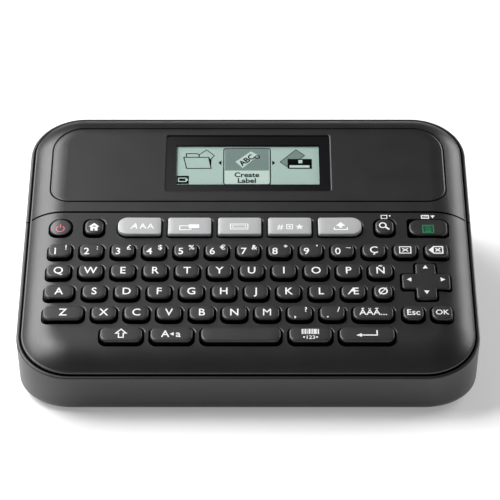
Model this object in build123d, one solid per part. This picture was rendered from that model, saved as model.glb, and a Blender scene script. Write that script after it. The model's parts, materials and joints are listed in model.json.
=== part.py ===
from build123d import *
import math
import os

# Desktop label maker. A wedge-shaped case carries a keyboard and a screen on its sloping top,
# and takes a tape cassette through a door in its sloping back. Millimetres, +Z up, the front
# faces -Y, and the origin is on the table under the middle of the case.

# Case
WIDTH = 188.0
SLOPE = 20.5              # the top against the table, degrees
REAR_LEAN = 31.6          # the back wall against the vertical, degrees
FRONT_SEAM = 20.6         # height of the top's front lip
SLAB_LENGTH = 142.7       # the top, front lip to rear lip, along the slope
SPLIT = 82.8              # seam between the front and rear halves, from the front lip
SEAM = 0.6
CORNER = 23.0             # plan corner of the tub
RIM = 2.0                 # strip of the tub that shows outside the top's lip
RIM_EDGE = 0.8
LIP_GAP = 0.6             # shadow gap under the lip
CROWN_RISE = 6.5          # flat of the top above the rim
CROWN_RADIUS = 20.5
WALL = 3.0                # tub
FLOOR = 2.4
SKIN = 2.2                # top shells
FOOT_HEIGHT = 1.2         # underside of the tub above the table
EDGE_RADIUS = 5.0         # bottom edge of the tub
SKIRT_GAP = 0.4           # skirt of the top inside the tub
SKIRT_WALL = 1.6
SKIRT_DEPTH = 2.5
TONGUE_WALL = 1.2         # lap of the rear case inside the front case
TONGUE_REACH = 3.0
FIT = 0.1                 # parts that sit against each other
TUB_REACH = 1.3           # the tub's walls are drawn down past the table by this share of its height

# Keyboard, in the frame of the top: x across, q up the slope, r out of the face
KEY_GAP = 0.4
KEY_PROUD = 2.0
KEY_BASE = 2.0
KEY_EDGE = 0.8
KEY_TRAVEL = 1.2
FLANGE = 0.7
FLANGE_THICK = 0.8
KEY_DEPTH = 9.2
FIRST_ROW = 9.8           # front edge of the first row of holes
ROW_PITCH = 11.3
FUNCTION_FRONT = 68.0
FUNCTION_DEPTH = 10.8
ROUND_FRONT = 3.2         # corners of a key hole
ROUND_REAR = 2.4
ROUND_SMALL = 1.4
ROUND_END = 4.4
MAT_THICK = 1.0
MAT_CLEAR = 0.2
BOARD_THICK = 1.6
BOARD_SIDE = 4.0          # board to the skirt of the top, at the sides
BOARD_FRONT = 5.5
BOARD_CORNER = 14.0
BOARD_END = 1.0           # board to the seam between the halves
POST_INSET = 15.0         # posts that press on the board, from its sides
POST_RADIUS = 1.2
CORNER_POST_RADIUS = 2.0

# Digits and letters: first hole's left edge, pitch, hole width, count
NUMBER_ROW = (-83.45, 12.98, 11.2, 11)
TOP_ROW = (-83.65, 13.22, 11.55, 11)
MIDDLE_ROW = (-68.4, 13.2, 11.4, 9)
LOWER_ROW = (-64.2, 13.2, 11.7, 8)
FIRST_A = (-83.85, 13.6)  # the wide first key of the middle row, left edge and width
LAST_A = (50.4, 9.2)
FIRST_Z = (-83.85, 18.0)
KEY_MARGIN = 10.15        # first key of the middle row to the side of the case; the layout spreads to it

# Keys that stand alone: row number from the front, left edge, width
SINGLE_KEYS = {
    "shift_key": (0, -60.3, 18.7),
    "caps_key": (0, -40.1, 18.8),
    "space_key": (0, -19.75, 33.75),
    "barcode_key": (0, 15.6, 18.8),
    "enter_key": (0, 35.85, 23.8),
    "accent_key": (1, 41.6, 18.0),
    "escape_key": (1, 61.75, 10.1),
    "ok_key": (1, 73.45, 10.0),
    "clear_key": (4, 59.33, 11.2),
    "backspace_key": (4, 72.31, 11.2),
}
# Function row: left edge, width, radius of the left corners, radius of the right corners
FUNCTION_KEYS = {
    "power_key": (-83.5, 10.4, ROUND_END, ROUND_END),
    "home_key": (-69.1, 9.6, ROUND_FRONT, ROUND_FRONT),
    "font_key": (-55.0, 19.3, ROUND_END, ROUND_SMALL),
    "layout_key": (-34.1, 19.3, ROUND_SMALL, ROUND_SMALL),
    "frame_key": (-13.2, 19.3, ROUND_SMALL, ROUND_SMALL),
    "symbol_key": (7.7, 19.3, ROUND_SMALL, ROUND_SMALL),
    "file_key": (28.6, 19.3, ROUND_SMALL, ROUND_END),
    "search_key": (52.1, 9.6, ROUND_FRONT, ROUND_FRONT),
    "print_key": (66.3, 17.7, ROUND_SMALL, ROUND_FRONT),
}
PAD_ACROSS = 72.85        # middle of the four-way pad, in the key layout
PAD_Q = 43.5
PAD_SPAN = 21.4
PAD_ARM = 10.0
PAD_ROUND = 1.6
PAD_GAP = 0.5
PAD_PROUD = 1.0
PIVOT_RADIUS = 1.8
PIVOT_RISE = 0.8

# Display
GROOVE = 0.7
PANEL_SIDE = 10.3         # panel to the side of the case
PANEL_FRONT = 6.5         # from the seam between the halves
PANEL_REAR = 10.2         # from the rear lip
PANEL_THICK = 1.2
PANEL_ROUND_FRONT = 8.0
PANEL_ROUND_REAR = 13.0
LENS_HALF = 35.4
LENS_FRONT = 5.5          # from the panel's front edge
LENS_REAR = 3.8           # from the panel's rear edge
LENS_THICK = 0.7
LENS_ROUND = 1.4
LCD_SIDE = 4.4            # border of the lens round the window
LCD_FRONT = 2.9
LCD_REAR = 6.0
LCD_THICK = 4.4
LCD_FRAME = 4.0

# Tape door, in the frame of the back wall: x to the left, u up the wall, n out of it
DOOR_WIDTH = 116.0
DOOR_LENGTH = 56.0
DOOR_THICK = 2.4
DOOR_GAP = 0.4
HINGE_HEIGHT = 12.0
HINGE_RADIUS = 2.0
PIN_RADIUS = 0.9
PIN_CLEAR = 0.05
PIN_GRIP = 3.0
LUG_WALL = 1.4
LEDGE = 2.5
LEDGE_THICK = 1.8
LEDGE_LAP = 4.0
WINDOW_WIDTH = 44.0
WINDOW_LENGTH = 18.0
WINDOW_THICK = 1.2
WINDOW_LAP = 2.0
NOTCH_RADIUS = 9.0
NOTCH_DEPTH = 1.2

# Tape compartment
CASSETTE_WIDTH = 68.0
CASSETTE_LENGTH = 46.0
CASSETTE_THICK = 20.0
CASSETTE_LEFT = -42.0
CASSETTE_ROUND = 4.0
CASSETTE_FIT = 0.4
DOOR_CLEAR = 0.5          # cassette to the ledge behind the door
TRAY_FLOOR = 2.0
TRAY_WALL = 1.8
TRAY_RISE = 14.0
TRAY_HALF = 70.0
TRAY_MARGIN = 10.0
TRAY_LIFT = 1.0           # tray to the floor of the case
TRAY_POST = 2.5
TRAY_POST_X = 66.0
TAPE_WIDTH = 18.0
PLATEN_OUT = 12.0         # platen's axis from the cassette
PLATEN_RADIUS = 6.0
PLATEN_UP = 31.5          # platen's axis from the cassette's lower edge
SHAFT_RADIUS = 1.5
SHAFT_CLEAR = 0.05
TAPE_GAP = 0.3
HEAD_WIDTH = 14.0
HEAD_THICK = 2.0
STRIP_THICK = 0.4
STRIP_WIDTH = 4.0
HEAD_PIVOT_OUT = 11.5
HEAD_PIVOT_UP = 6.0
HEAD_BOSS = 3.2
SPINDLE_RADIUS = 3.5
SPLINE_DEPTH = 0.7
SPLINES = 6
HUB_RADIUS = 5.5
SUPPLY_RADIUS = 7.0

# Gears: module, teeth, face width, and the directions of the gear centres
MODULE = 0.8
PLATEN_TEETH = 20
IDLER_TEETH = 30
PINION_TEETH = 12
SPINDLE_TEETH = 40
GEAR_FACE = 5.0
GEAR_CLEAR = 0.8
BACKLASH = 0.14
ADDENDUM = 0.9
DEDENDUM = 1.25
PRESSURE = 20.0
IDLER_TURN = 53.0         # platen to idler, degrees from across
PINION_TURN = -37.0       # idler to pinion
SPINDLE_TURN = 194.0      # platen to spindle
PLATE_THICK = 2.0
PLATE_MARGIN = 3.0
STANDOFF_RADIUS = 2.5
MOTOR_RADIUS = 10.0
MOTOR_LENGTH = 24.0
MOTOR_BORE_DEPTH = 6.0
MOTOR_SHAFT = 1.0
MOTOR_FLAT = 0.8          # the can's flat sides, as a share of its radius
ROOT_RISE = 0.1           # straight foot of a tooth, in modules

# Cutter
CUTTER_OUT = 25.6         # face of the cutter's plate from the platen's axis
CUTTER_PLATE = 2.0
CUTTER_LOW = 12.0         # plate below and above the tape
CUTTER_HIGH = 14.0
BLADE_THICK = 0.8
BLADE_CLEAR = 0.3
BLADE_LIFT = 1.6          # blade's low corner above the tape at rest
BLADE_SLANT = 2.0
BLADE_LENGTH = 10.0
BLADE_STROKE = 5.0
RAIL_WALL = 0.8
RAIL_LIP = 0.6
RAIL_LAP = 1.0
SLOT_WIDTH = 3.0
SLOT_MARGIN = 2.0

# Electronics in the rear case
MAIN_BOARD_LENGTH = 118.0
MAIN_BOARD_SIDE = 13.0    # board to the inside of the right wall
MAIN_BOARD_Y = (20.0, 50.0)
MAIN_BOARD_LIFT = 2.4
BOSS_RADIUS = 3.0
BOSS_INSET = 4.0
JACK_SIZE = (14.0, 9.0, 11.0)
JACK_Y = 28.5
JACK_BORE = 2.9
JACK_PIN = 1.0
JACK_DEPTH = 10.0
JACK_HOLE = 4.2
USB_SIZE = (7.0, 7.6, 2.9)
USB_Y = 42.0
USB_WALL = 0.4
USB_MARGIN = 0.8

# Batteries
CELL_RADIUS = 7.1
CELL_LENGTH = 50.0
CELL_NUB = 2.7
NUB_LENGTH = 1.2
CELL_ROWS = 3
CELL_PITCH = 15.0
CELL_MIDDLE = -40.0       # middle row, front to back
CELL_PLAY = 0.3
CONTACT_ROOM = 1.0
CONTACT_THICK = 0.5
CONTACT_SIZE = 10.0
BOX_WALL = 2.0
COVER_THICK = 2.0
COVER_LAP = 3.0
COVER_GAP = 0.4
TRUNNION_RADIUS = 0.7
TRUNNION_LENGTH = 1.6
PAD_THICK = 1.8
FINGER_RADIUS = 7.0

# Feet and screws
FOOT_RADIUS = 6.0
FOOT_RECESS = 0.5
FOOT_X = 70.0
FOOT_FRONT = 16.5         # from the front lower edge
FOOT_REAR = 15.5          # from the rear lower edge
SCREW_X = 5.9             # from the outside of the tub
SCREW_Y = (-46.0, -22.0)
REAR_SCREW_Y = 14.0
SCREW_RADIUS = 1.3
SCREW_LENGTH = 11.0
HEAD_RADIUS = 2.6
HEAD_HEIGHT = 1.4
PILLAR_RADIUS = 2.6
PILLAR_JOINT = 10.0       # where the tub's boss meets the pillar of the top

# Frames worked out from the sizes above
slope = math.radians(SLOPE)
lean = math.radians(REAR_LEAN)
draft = lean - slope
HALF = WIDTH / 2
LENGTH = SLAB_LENGTH + 2 * RIM
REAR_TOP = FRONT_SEAM + (SLAB_LENGTH + RIM) * math.sin(slope)
BACK_RUN = (REAR_TOP - FOOT_HEIGHT) * math.tan(lean)
TOE = EDGE_RADIUS * ((1 + math.sin(lean)) / math.cos(lean) - 1)
DEPTH = LENGTH * math.cos(slope) + BACK_RUN - TOE
SLAB_Y = -DEPTH / 2 + RIM * math.cos(slope)
SLAB = Plane(origin=(0, SLAB_Y, FRONT_SEAM), x_dir=(1, 0, 0),
             z_dir=(0, -math.sin(slope), math.cos(slope)))
BACK = Plane(origin=(0, DEPTH / 2 + TOE, FOOT_HEIGHT), x_dir=(-1, 0, 0),
             z_dir=(0, math.cos(lean), math.sin(lean)))
FAR = 4 * WIDTH           # larger than the whole case
CASE_FLOOR = FOOT_HEIGHT + FLOOR
FRONT_EDGE_Y = -DEPTH / 2 + (FRONT_SEAM - RIM * math.sin(slope) - FOOT_HEIGHT) * math.tan(slope)

# The rounded edge of the top meets the lip part-way down its quarter round
CROWN_DROP = CROWN_RADIUS - (CROWN_RISE - LIP_GAP)
CROWN_OVERHANG = CROWN_RADIUS - math.sqrt(CROWN_RADIUS ** 2 - CROWN_DROP ** 2)

KEY_TOP = CROWN_RISE + KEY_PROUD
SPREAD = (HALF - KEY_MARGIN) / -FIRST_A[0]
PAD_X = PAD_ACROSS * SPREAD
BOARD_HALF = HALF - WALL - SKIRT_GAP - SKIRT_WALL - BOARD_SIDE
PANEL_HALF = HALF - PANEL_SIDE
MAIN_BOARD_X = (HALF - WALL - MAIN_BOARD_SIDE - MAIN_BOARD_LENGTH, HALF - WALL - MAIN_BOARD_SIDE)
PAD_TOP = CROWN_RISE + PAD_PROUD
MAT_TOP = KEY_BASE - KEY_TRAVEL - MAT_CLEAR
BOARD_TOP = MAT_TOP - MAT_THICK
BOARD_REAR = SPLIT - SEAM - BOARD_END
UNDER_SKIN = CROWN_RISE - SKIN
MIN3 = (Align.MIN, Align.MIN, Align.MIN)

# Tape compartment in the frame of the back wall
BACK_INSIDE = -WALL * math.cos(draft)
CASSETTE_FACE = -DOOR_THICK - FIT - LEDGE_THICK - DOOR_CLEAR
TRAY_TOP = CASSETTE_FACE - CASSETTE_THICK - CASSETTE_FIT
TRAY_UNDER = TRAY_TOP - TRAY_FLOOR
TRAY_LOW = (FLOOR + TRAY_LIFT - TRAY_UNDER * math.sin(lean)) / math.cos(lean)
CASSETTE_LOW = TRAY_LOW + TRAY_WALL + CASSETTE_FIT
CASSETTE_RIGHT = CASSETTE_LEFT + CASSETTE_WIDTH
TRAY_HIGH = CASSETTE_LOW + CASSETTE_LENGTH + TRAY_MARGIN
PLATEN_X = CASSETTE_RIGHT + PLATEN_OUT
PLATEN_U = CASSETTE_LOW + PLATEN_UP
STRIP_U = PLATEN_U + PLATEN_RADIUS + TAPE_GAP
TAPE_U = STRIP_U - TAPE_GAP / 2
GEAR_TOP = TRAY_UNDER - GEAR_CLEAR
GEAR_UNDER = GEAR_TOP - GEAR_FACE
PLATE_TOP = GEAR_UNDER - GEAR_CLEAR
PLATE_UNDER = PLATE_TOP - PLATE_THICK
CUTTER_X = PLATEN_X + CUTTER_OUT


def step_from(x, u, teeth_a, teeth_b, turn):
    """Centre of a gear that meshes with the gear at (x, u), in the direction turn."""
    reach = MODULE * (teeth_a + teeth_b) / 2
    return x + reach * math.cos(math.radians(turn)), u + reach * math.sin(math.radians(turn))


IDLER_X, IDLER_U = step_from(PLATEN_X, PLATEN_U, PLATEN_TEETH, IDLER_TEETH, IDLER_TURN)
PINION_X, PINION_U = step_from(IDLER_X, IDLER_U, IDLER_TEETH, PINION_TEETH, PINION_TURN)
SPINDLE_X, SPINDLE_U = step_from(PLATEN_X, PLATEN_U, PLATEN_TEETH, SPINDLE_TEETH, SPINDLE_TURN)


def block(x0, x1, y0, y1, z0, z1):
    """Box between two corners."""
    return Pos(x0, y0, z0) * Box(x1 - x0, y1 - y0, z1 - z0, align=MIN3)


def prism(x0, x1, y0, y1, corner, z0, z1):
    """Upright block with rounded plan corners."""
    plan = RectangleRounded(x1 - x0, y1 - y0, corner)
    return Pos((x0 + x1) / 2, (y0 + y1) / 2, z0) * extrude(plan, amount=z1 - z0)


def rod(x, y, z0, z1, radius):
    """Upright cylinder from z0 to z1."""
    return Pos(x, y, z0) * Cylinder(radius, z1 - z0, align=(Align.CENTER, Align.CENTER, Align.MIN))


def bar(x0, x1, y, z, radius):
    """Cylinder along x."""
    return Pos((x0 + x1) / 2, y, z) * Rot(0, 90, 0) * Cylinder(radius, x1 - x0)


def corner_plan(width, depth, radii):
    """Rectangle with its own radius at each corner: front left, front right, rear right, rear left."""
    face = Face.make_rect(width, depth)
    signs = ((-1, -1), (1, -1), (1, 1), (-1, 1))
    for (sx, sy), radius in zip(signs, radii):
        corner = Vector(sx * width / 2, sy * depth / 2, 0)
        vertex = min(face.vertices(), key=lambda v: (Vector(v.X, v.Y, v.Z) - corner).length)
        face = face.fillet_2d(radius, [vertex])
    return face


# Case

def tub_form(inset, top):
    """The tub's form, moved inwards by inset, from the rim downwards. Only the back wall drafts."""
    def section(r):
        front = -RIM + inset
        rear = SLAB_LENGTH + RIM - inset - r * math.tan(draft)
        plan = RectangleRounded(WIDTH - 2 * inset, rear - front, CORNER - inset)
        return Pos(0, (front + rear) / 2, r) * plan
    return loft([section(top), section(-TUB_REACH * REAR_TOP)], ruled=True)


def above(z):
    """Everything over the height z."""
    return block(-FAR, FAR, -FAR, FAR, z, FAR)


def front_half(gap):
    """Everything in front of the seam, in the frame of the top."""
    return block(-FAR, FAR, -FAR, SPLIT - gap / 2, -FAR, FAR)


def rear_half(gap):
    """Everything behind the seam, in the frame of the top."""
    return block(-FAR, FAR, SPLIT + gap / 2, FAR, -FAR, FAR)


def tub_shell():
    """Both halves of the tub in one piece."""
    form = tub_form(0, 0)
    rim = form.edges().group_by(Axis.Z)[-1]
    outer = SLAB * fillet(rim, RIM_EDGE) & above(FOOT_HEIGHT)
    outer = fillet(outer.edges().group_by(Axis.Z)[0], EDGE_RADIUS)
    return outer - cavity(0)


def cavity(inset):
    """The room inside the tub, less a layer of the thickness inset."""
    return SLAB * tub_form(WALL + inset, CROWN_RISE) & above(CASE_FLOOR + inset)


def tongue():
    """Lap that lines the front half of the tub behind the seam."""
    ring = cavity(FIT) - cavity(FIT + TONGUE_WALL)
    band = block(-FAR, FAR, SPLIT - TONGUE_REACH, SPLIT + TONGUE_REACH, -FAR, -SKIRT_DEPTH - WALL)
    root = block(-FAR, FAR, SPLIT + SEAM / 2, SPLIT + TONGUE_REACH, -FAR, -SKIRT_DEPTH - WALL)
    foot = (cavity(0) - cavity(FIT + TONGUE_WALL)) & SLAB * root
    return (ring & SLAB * band) + foot


def screw_places(rows):
    """Centres of the case screws in the rows given, left and right."""
    return [(side * (HALF - SCREW_X), y) for y in rows for side in (-1, 1)]


def foot_places():
    """Front pair, then rear pair."""
    front = FRONT_EDGE_Y + FOOT_FRONT
    rear = DEPTH / 2 - FOOT_REAR
    return [(side * FOOT_X, y) for y in (front, rear) for side in (-1, 1)]


def screw_boss(x, y):
    """Boss on the tub's floor that a case screw passes through."""
    return rod(x, y, FOOT_HEIGHT + HEAD_HEIGHT, PILLAR_JOINT, PILLAR_RADIUS)


def screw_hole(x, y):
    """Counterbore and clearance hole of a case screw."""
    head = rod(x, y, 0, FOOT_HEIGHT + HEAD_HEIGHT, HEAD_RADIUS + FIT)
    return head + rod(x, y, 0, PILLAR_JOINT, SCREW_RADIUS + FIT)


def foot_recess(x, y):
    """Shallow seat of a rubber foot."""
    return rod(x, y, 0, FOOT_HEIGHT + FOOT_RECESS, FOOT_RADIUS + FIT)


# Battery box, in the frame of the whole case
CELL_Z = FOOT_HEIGHT + COVER_THICK + CELL_PLAY + CELL_RADIUS
BOX_HALF = BOX_WALL / 2 + CELL_LENGTH + 2 * CONTACT_ROOM
BOX_SPAN = (CELL_ROWS - 1) * CELL_PITCH / 2 + CELL_RADIUS + CELL_PLAY
BOX_TOP = CELL_Z + CELL_RADIUS + CELL_PLAY
COVER_HALF = BOX_HALF + COVER_LAP
COVER_FRONT = CELL_MIDDLE - BOX_SPAN - COVER_LAP
COVER_REAR = CELL_MIDDLE + BOX_SPAN + COVER_LAP
COVER_AXIS_Y = COVER_FRONT + COVER_THICK / 2
COVER_AXIS_Z = FOOT_HEIGHT + COVER_THICK / 2


def battery_box():
    """Walls, roof and middle rib round the cells, on a thickened pad of the floor."""
    wall = block(-BOX_HALF - BOX_WALL, BOX_HALF + BOX_WALL, CELL_MIDDLE - BOX_SPAN - BOX_WALL,
                 CELL_MIDDLE + BOX_SPAN + BOX_WALL, FOOT_HEIGHT, BOX_TOP + BOX_WALL)
    pad = block(-COVER_HALF - COVER_LAP, COVER_HALF + COVER_LAP, COVER_FRONT - COVER_LAP,
                COVER_REAR + COVER_LAP, FOOT_HEIGHT, FOOT_HEIGHT + COVER_THICK + PAD_THICK)
    return wall + pad


def battery_room():
    """What is hollow in the battery box: the two bays of cells and the cover's recess."""
    span = (CELL_MIDDLE - BOX_SPAN, CELL_MIDDLE + BOX_SPAN)
    room = block(BOX_WALL / 2, BOX_HALF, *span, 0, BOX_TOP)
    room += block(-BOX_HALF, -BOX_WALL / 2, *span, 0, BOX_TOP)
    recess = block(-COVER_HALF - COVER_GAP, COVER_HALF + COVER_GAP, COVER_FRONT - COVER_GAP,
                   COVER_REAR + COVER_GAP, 0, FOOT_HEIGHT + COVER_THICK + FIT)
    socket = bar(-COVER_HALF - COVER_GAP - TRUNNION_LENGTH, COVER_HALF + COVER_GAP + TRUNNION_LENGTH,
                 COVER_AXIS_Y, COVER_AXIS_Z, TRUNNION_RADIUS + SHAFT_CLEAR)
    finger = rod(0, COVER_REAR, 0, FOOT_HEIGHT + FLOOR / 2, FINGER_RADIUS)
    return room + recess + socket + finger


def lower_case(shell):
    """Front half of the tub with the battery box and the screw bosses."""
    case = shell & SLAB * front_half(SEAM)
    case += battery_box()
    case += [screw_boss(x, y) for x, y in screw_places(SCREW_Y)]
    case -= battery_room()
    case -= [screw_hole(x, y) for x, y in screw_places(SCREW_Y)]
    case -= [foot_recess(x, y) for x, y in foot_places()[:2]]
    return case


def door_opening():
    """Hole for the tape door and its barrel, in the frame of the back wall."""
    half = DOOR_WIDTH / 2 + DOOR_GAP
    low = HINGE_HEIGHT - HINGE_RADIUS - DOOR_GAP
    high = HINGE_HEIGHT + DOOR_LENGTH + DOOR_GAP
    hole = block(-half, half, low, high, 2 * BACK_INSIDE, WALL)
    bore = bar(-half - PIN_GRIP, half + PIN_GRIP, HINGE_HEIGHT, -HINGE_RADIUS, PIN_RADIUS + FIT / 2)
    notch = rod(0, high, -NOTCH_DEPTH, WALL, NOTCH_RADIUS)
    return hole + bore + notch


def door_frame():
    """Ledge behind the door on three sides, and the lugs that hold its pin."""
    half = DOOR_WIDTH / 2 + DOOR_GAP
    low = HINGE_HEIGHT + HINGE_RADIUS + DOOR_GAP
    high = HINGE_HEIGHT + DOOR_LENGTH + DOOR_GAP
    back = -DOOR_THICK - FIT - LEDGE_THICK
    ring = block(-half - LEDGE_LAP, half + LEDGE_LAP, low, high + LEDGE_LAP, back, -DOOR_THICK - FIT)
    ring -= block(-half + LEDGE, half - LEDGE, low - LEDGE, high - LEDGE, 2 * back, 0)
    lug_low = HINGE_HEIGHT - PIN_RADIUS - LUG_WALL
    lug_back = -HINGE_RADIUS - PIN_RADIUS - LUG_WALL
    for x in (-half - LEDGE_LAP, half):
        ring += block(x, x + LEDGE_LAP, lug_low, low, lug_back, -DOOR_THICK / 2)
    return ring


def tape_slot(x0, x1, margin):
    """The way out for the printed tape from x0 to x1, wider than the tape by margin on each side."""
    half = TAPE_WIDTH / 2 + margin
    middle = CASSETTE_FACE - CASSETTE_THICK / 2
    return block(x0, x1, TAPE_U - SLOT_WIDTH / 2, TAPE_U + SLOT_WIDTH / 2, middle - half, middle + half)


def port_holes():
    """Openings in the right wall for the power and data sockets."""
    bottom = CASE_FLOOR + MAIN_BOARD_LIFT + BOARD_THICK
    jack = bar(HALF - 2 * WALL, FAR, JACK_Y, bottom + JACK_SIZE[2] / 2, JACK_HOLE)
    half = USB_SIZE[1] / 2 + USB_MARGIN
    usb = block(HALF - 2 * WALL, FAR, USB_Y - half, USB_Y + half,
                bottom - USB_MARGIN, bottom + USB_SIZE[2] + USB_MARGIN)
    return jack + usb


def board_bosses():
    """Four bosses under the main board."""
    bosses = []
    for x in (MAIN_BOARD_X[0] + BOSS_INSET, MAIN_BOARD_X[1] - BOSS_INSET):
        for y in (MAIN_BOARD_Y[0] + BOSS_INSET, MAIN_BOARD_Y[1] - BOSS_INSET):
            bosses.append(rod(x, y, CASE_FLOOR - FIT, CASE_FLOOR + MAIN_BOARD_LIFT, BOSS_RADIUS))
    return bosses


def rear_case(shell):
    """Rear half of the tub with the door's frame, the tape slot and the sockets' holes."""
    places = screw_places([REAR_SCREW_Y])
    case = shell & SLAB * rear_half(SEAM)
    case += tongue()
    case += BACK * door_frame()
    case += board_bosses()
    case += [screw_boss(x, y) for x, y in places]
    case -= BACK * door_opening()
    case -= BACK * tape_slot(CUTTER_X, FAR, SLOT_MARGIN)
    case -= port_holes()
    case -= [screw_hole(x, y) for x, y in places]
    case -= [foot_recess(x, y) for x, y in foot_places()[2:]]
    return case


# Top shells

def crown(inset):
    """Solid under the top's skin, moved inwards by inset: a slab whose upper edge is a quarter round."""
    radius = CROWN_RADIUS - inset
    front = -CROWN_OVERHANG + inset
    rear = SLAB_LENGTH + CROWN_OVERHANG - inset
    half = HALF - RIM + CROWN_OVERHANG - inset
    deep = radius + CROWN_RISE
    plan = RectangleRounded(2 * half, rear - front, CORNER - RIM + CROWN_OVERHANG - inset)
    slab = Pos(0, (front + rear) / 2, CROWN_RISE - inset - deep) * extrude(plan, amount=deep)
    return fillet(slab.edges().group_by(Axis.Z)[-1], radius)


def skirt():
    """Upright wall of the top that reaches down inside the tub."""
    def wall(inset):
        return prism(-HALF + inset, HALF - inset, -RIM + inset, SLAB_LENGTH + RIM - inset,
                     CORNER - inset, -SKIRT_DEPTH, LIP_GAP + SKIRT_GAP)
    return wall(WALL + SKIRT_GAP) - wall(WALL + SKIRT_GAP + SKIRT_WALL)


def top_shell():
    """Both halves of the top in one piece, in its own frame."""
    shell = crown(0) - crown(SKIN)
    shell &= block(-FAR, FAR, -FAR, FAR, LIP_GAP, FAR)
    return shell + skirt()


def pillars(rows):
    """Pillars of the top that the case screws pull on, up to the middle of the skin."""
    inside = SLAB * crown(SKIN / 2)
    posts = []
    for x, y in screw_places(rows):
        post = rod(x, y, PILLAR_JOINT, REAR_TOP, PILLAR_RADIUS)
        post -= rod(x, y, PILLAR_JOINT, PILLAR_JOINT + SCREW_LENGTH, SCREW_RADIUS + FIT / 2)
        posts.append(post & inside)
    return posts


def board_posts():
    """Posts of the deck that press on the keypad board: x, q, radius."""
    middle = (FIRST_ROW + 4 * ROW_PITCH + KEY_DEPTH + FUNCTION_FRONT) / 2
    front = FIRST_ROW + KEY_DEPTH / 2
    side = BOARD_HALF - POST_INSET
    posts = [(side_sign * side, front, CORNER_POST_RADIUS) for side_sign in (-1, 1)]
    return posts + [(side_sign * side, middle, POST_RADIUS) for side_sign in (-1, 1)]


def keyboard_deck(shell):
    """Front half of the top, pierced for the keys."""
    deck = shell & front_half(SEAM)
    deck += [rod(x, q, BOARD_TOP, CROWN_RISE - SKIN / 2, radius) for x, q, radius in board_posts()]
    deck -= [hole(key) for key in all_keys()]
    deck -= pad_form(0, 0, CROWN_RISE + KEY_PROUD)
    return SLAB * deck + pillars(SCREW_Y)


def panel_plan(outset, z0, z1):
    """The display panel's outline, grown by outset, as a block."""
    front = SPLIT + PANEL_FRONT - outset
    rear = SLAB_LENGTH - PANEL_REAR + outset
    radii = [PANEL_ROUND_FRONT + outset] * 2 + [PANEL_ROUND_REAR + outset] * 2
    plan = corner_plan(2 * (PANEL_HALF + outset), rear - front, radii)
    return Pos(0, (front + rear) / 2, z0) * extrude(plan, amount=z1 - z0)


LENS_Q0 = SPLIT + PANEL_FRONT + LENS_FRONT
LENS_Q1 = SLAB_LENGTH - PANEL_REAR - LENS_REAR
LENS_SEAT = CROWN_RISE - PANEL_THICK - FIT


def lens_plan(outset, z0, z1):
    """The window's outline, grown by outset, as a block."""
    return prism(-LENS_HALF - outset, LENS_HALF + outset, LENS_Q0 - outset, LENS_Q1 + outset,
                 LENS_ROUND + outset, z0, z1)


def display_housing(shell):
    """Rear half of the top, sunk for the panel and open over the screen."""
    housing = shell & rear_half(SEAM)
    housing -= panel_plan(GROOVE, -FAR, FAR) - crown(PANEL_THICK + FIT)
    housing -= block(-LENS_HALF + LCD_SIDE, LENS_HALF - LCD_SIDE, LENS_Q0 + LCD_FRONT,
                     LENS_Q1 - LCD_REAR, 0, CROWN_RISE)
    return SLAB * housing + pillars([REAR_SCREW_Y])


def display_panel():
    """Crowned skin that fills the recess round the window."""
    skin = crown(0) - crown(PANEL_THICK)
    return SLAB * ((skin & panel_plan(0, 0, FAR)) - lens_plan(FIT, 0, FAR))


def display_lens():
    """Flat window, set a little below the panel's face."""
    return SLAB * lens_plan(0, LENS_SEAT, LENS_SEAT + LENS_THICK)


def lcd_module():
    """Screen and its board against the underside of the housing."""
    screen = prism(-LENS_HALF, LENS_HALF, LENS_Q0, LENS_Q1 - LCD_REAR / 2, LENS_ROUND,
                   UNDER_SKIN - LCD_THICK, UNDER_SKIN)
    raised = block(-LENS_HALF + LCD_SIDE + FIT, LENS_HALF - LCD_SIDE - FIT, LENS_Q0 + LCD_FRONT + FIT,
                   LENS_Q1 - LCD_REAR - FIT, UNDER_SKIN - FIT, LENS_SEAT - FIT)
    board = block(-LENS_HALF - LCD_FRAME, LENS_HALF + LCD_FRAME, LENS_Q0, LENS_Q1,
                  UNDER_SKIN - LCD_THICK - BOARD_THICK, UNDER_SKIN - LCD_THICK)
    return SLAB * (screen + raised + board)


# Keys. A key is its hole: left edge, front edge, width, depth and four corner radii.

def row_front(row):
    """Front edge of a row of holes, counted from the front."""
    return FIRST_ROW + row * ROW_PITCH


def letter(x, row, width):
    """A key of the five main rows."""
    radii = (ROUND_FRONT, ROUND_FRONT, ROUND_REAR, ROUND_REAR)
    return x * SPREAD, row_front(row), width * SPREAD, KEY_DEPTH, radii


def run_of_keys(row, layout):
    """A row of equal keys at a steady pitch."""
    start, pitch, width, count = layout
    return [letter(start + i * pitch, row, width) for i in range(count)]


def single_key(name):
    """One of the keys that stand alone in the main rows."""
    row, x, width = SINGLE_KEYS[name]
    return letter(x, row, width)


def function_key(name):
    """One of the keys of the function row."""
    x, width, left, right = FUNCTION_KEYS[name]
    return x * SPREAD, FUNCTION_FRONT, width * SPREAD, FUNCTION_DEPTH, (left, right, right, left)


ROW_KEYS = {
    "number_row_keys": run_of_keys(4, NUMBER_ROW),
    "top_row_keys": run_of_keys(3, TOP_ROW),
    "middle_row_keys": [letter(FIRST_A[0], 2, FIRST_A[1])] + run_of_keys(2, MIDDLE_ROW)
                       + [letter(LAST_A[0], 2, LAST_A[1])],
    "lower_row_keys": [letter(FIRST_Z[0], 1, FIRST_Z[1])] + run_of_keys(1, LOWER_ROW),
}


def all_keys():
    """Every key with a hole of its own."""
    keys = [key for row in ROW_KEYS.values() for key in row]
    keys += [single_key(name) for name in SINGLE_KEYS]
    return keys + [function_key(name) for name in FUNCTION_KEYS]


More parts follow.
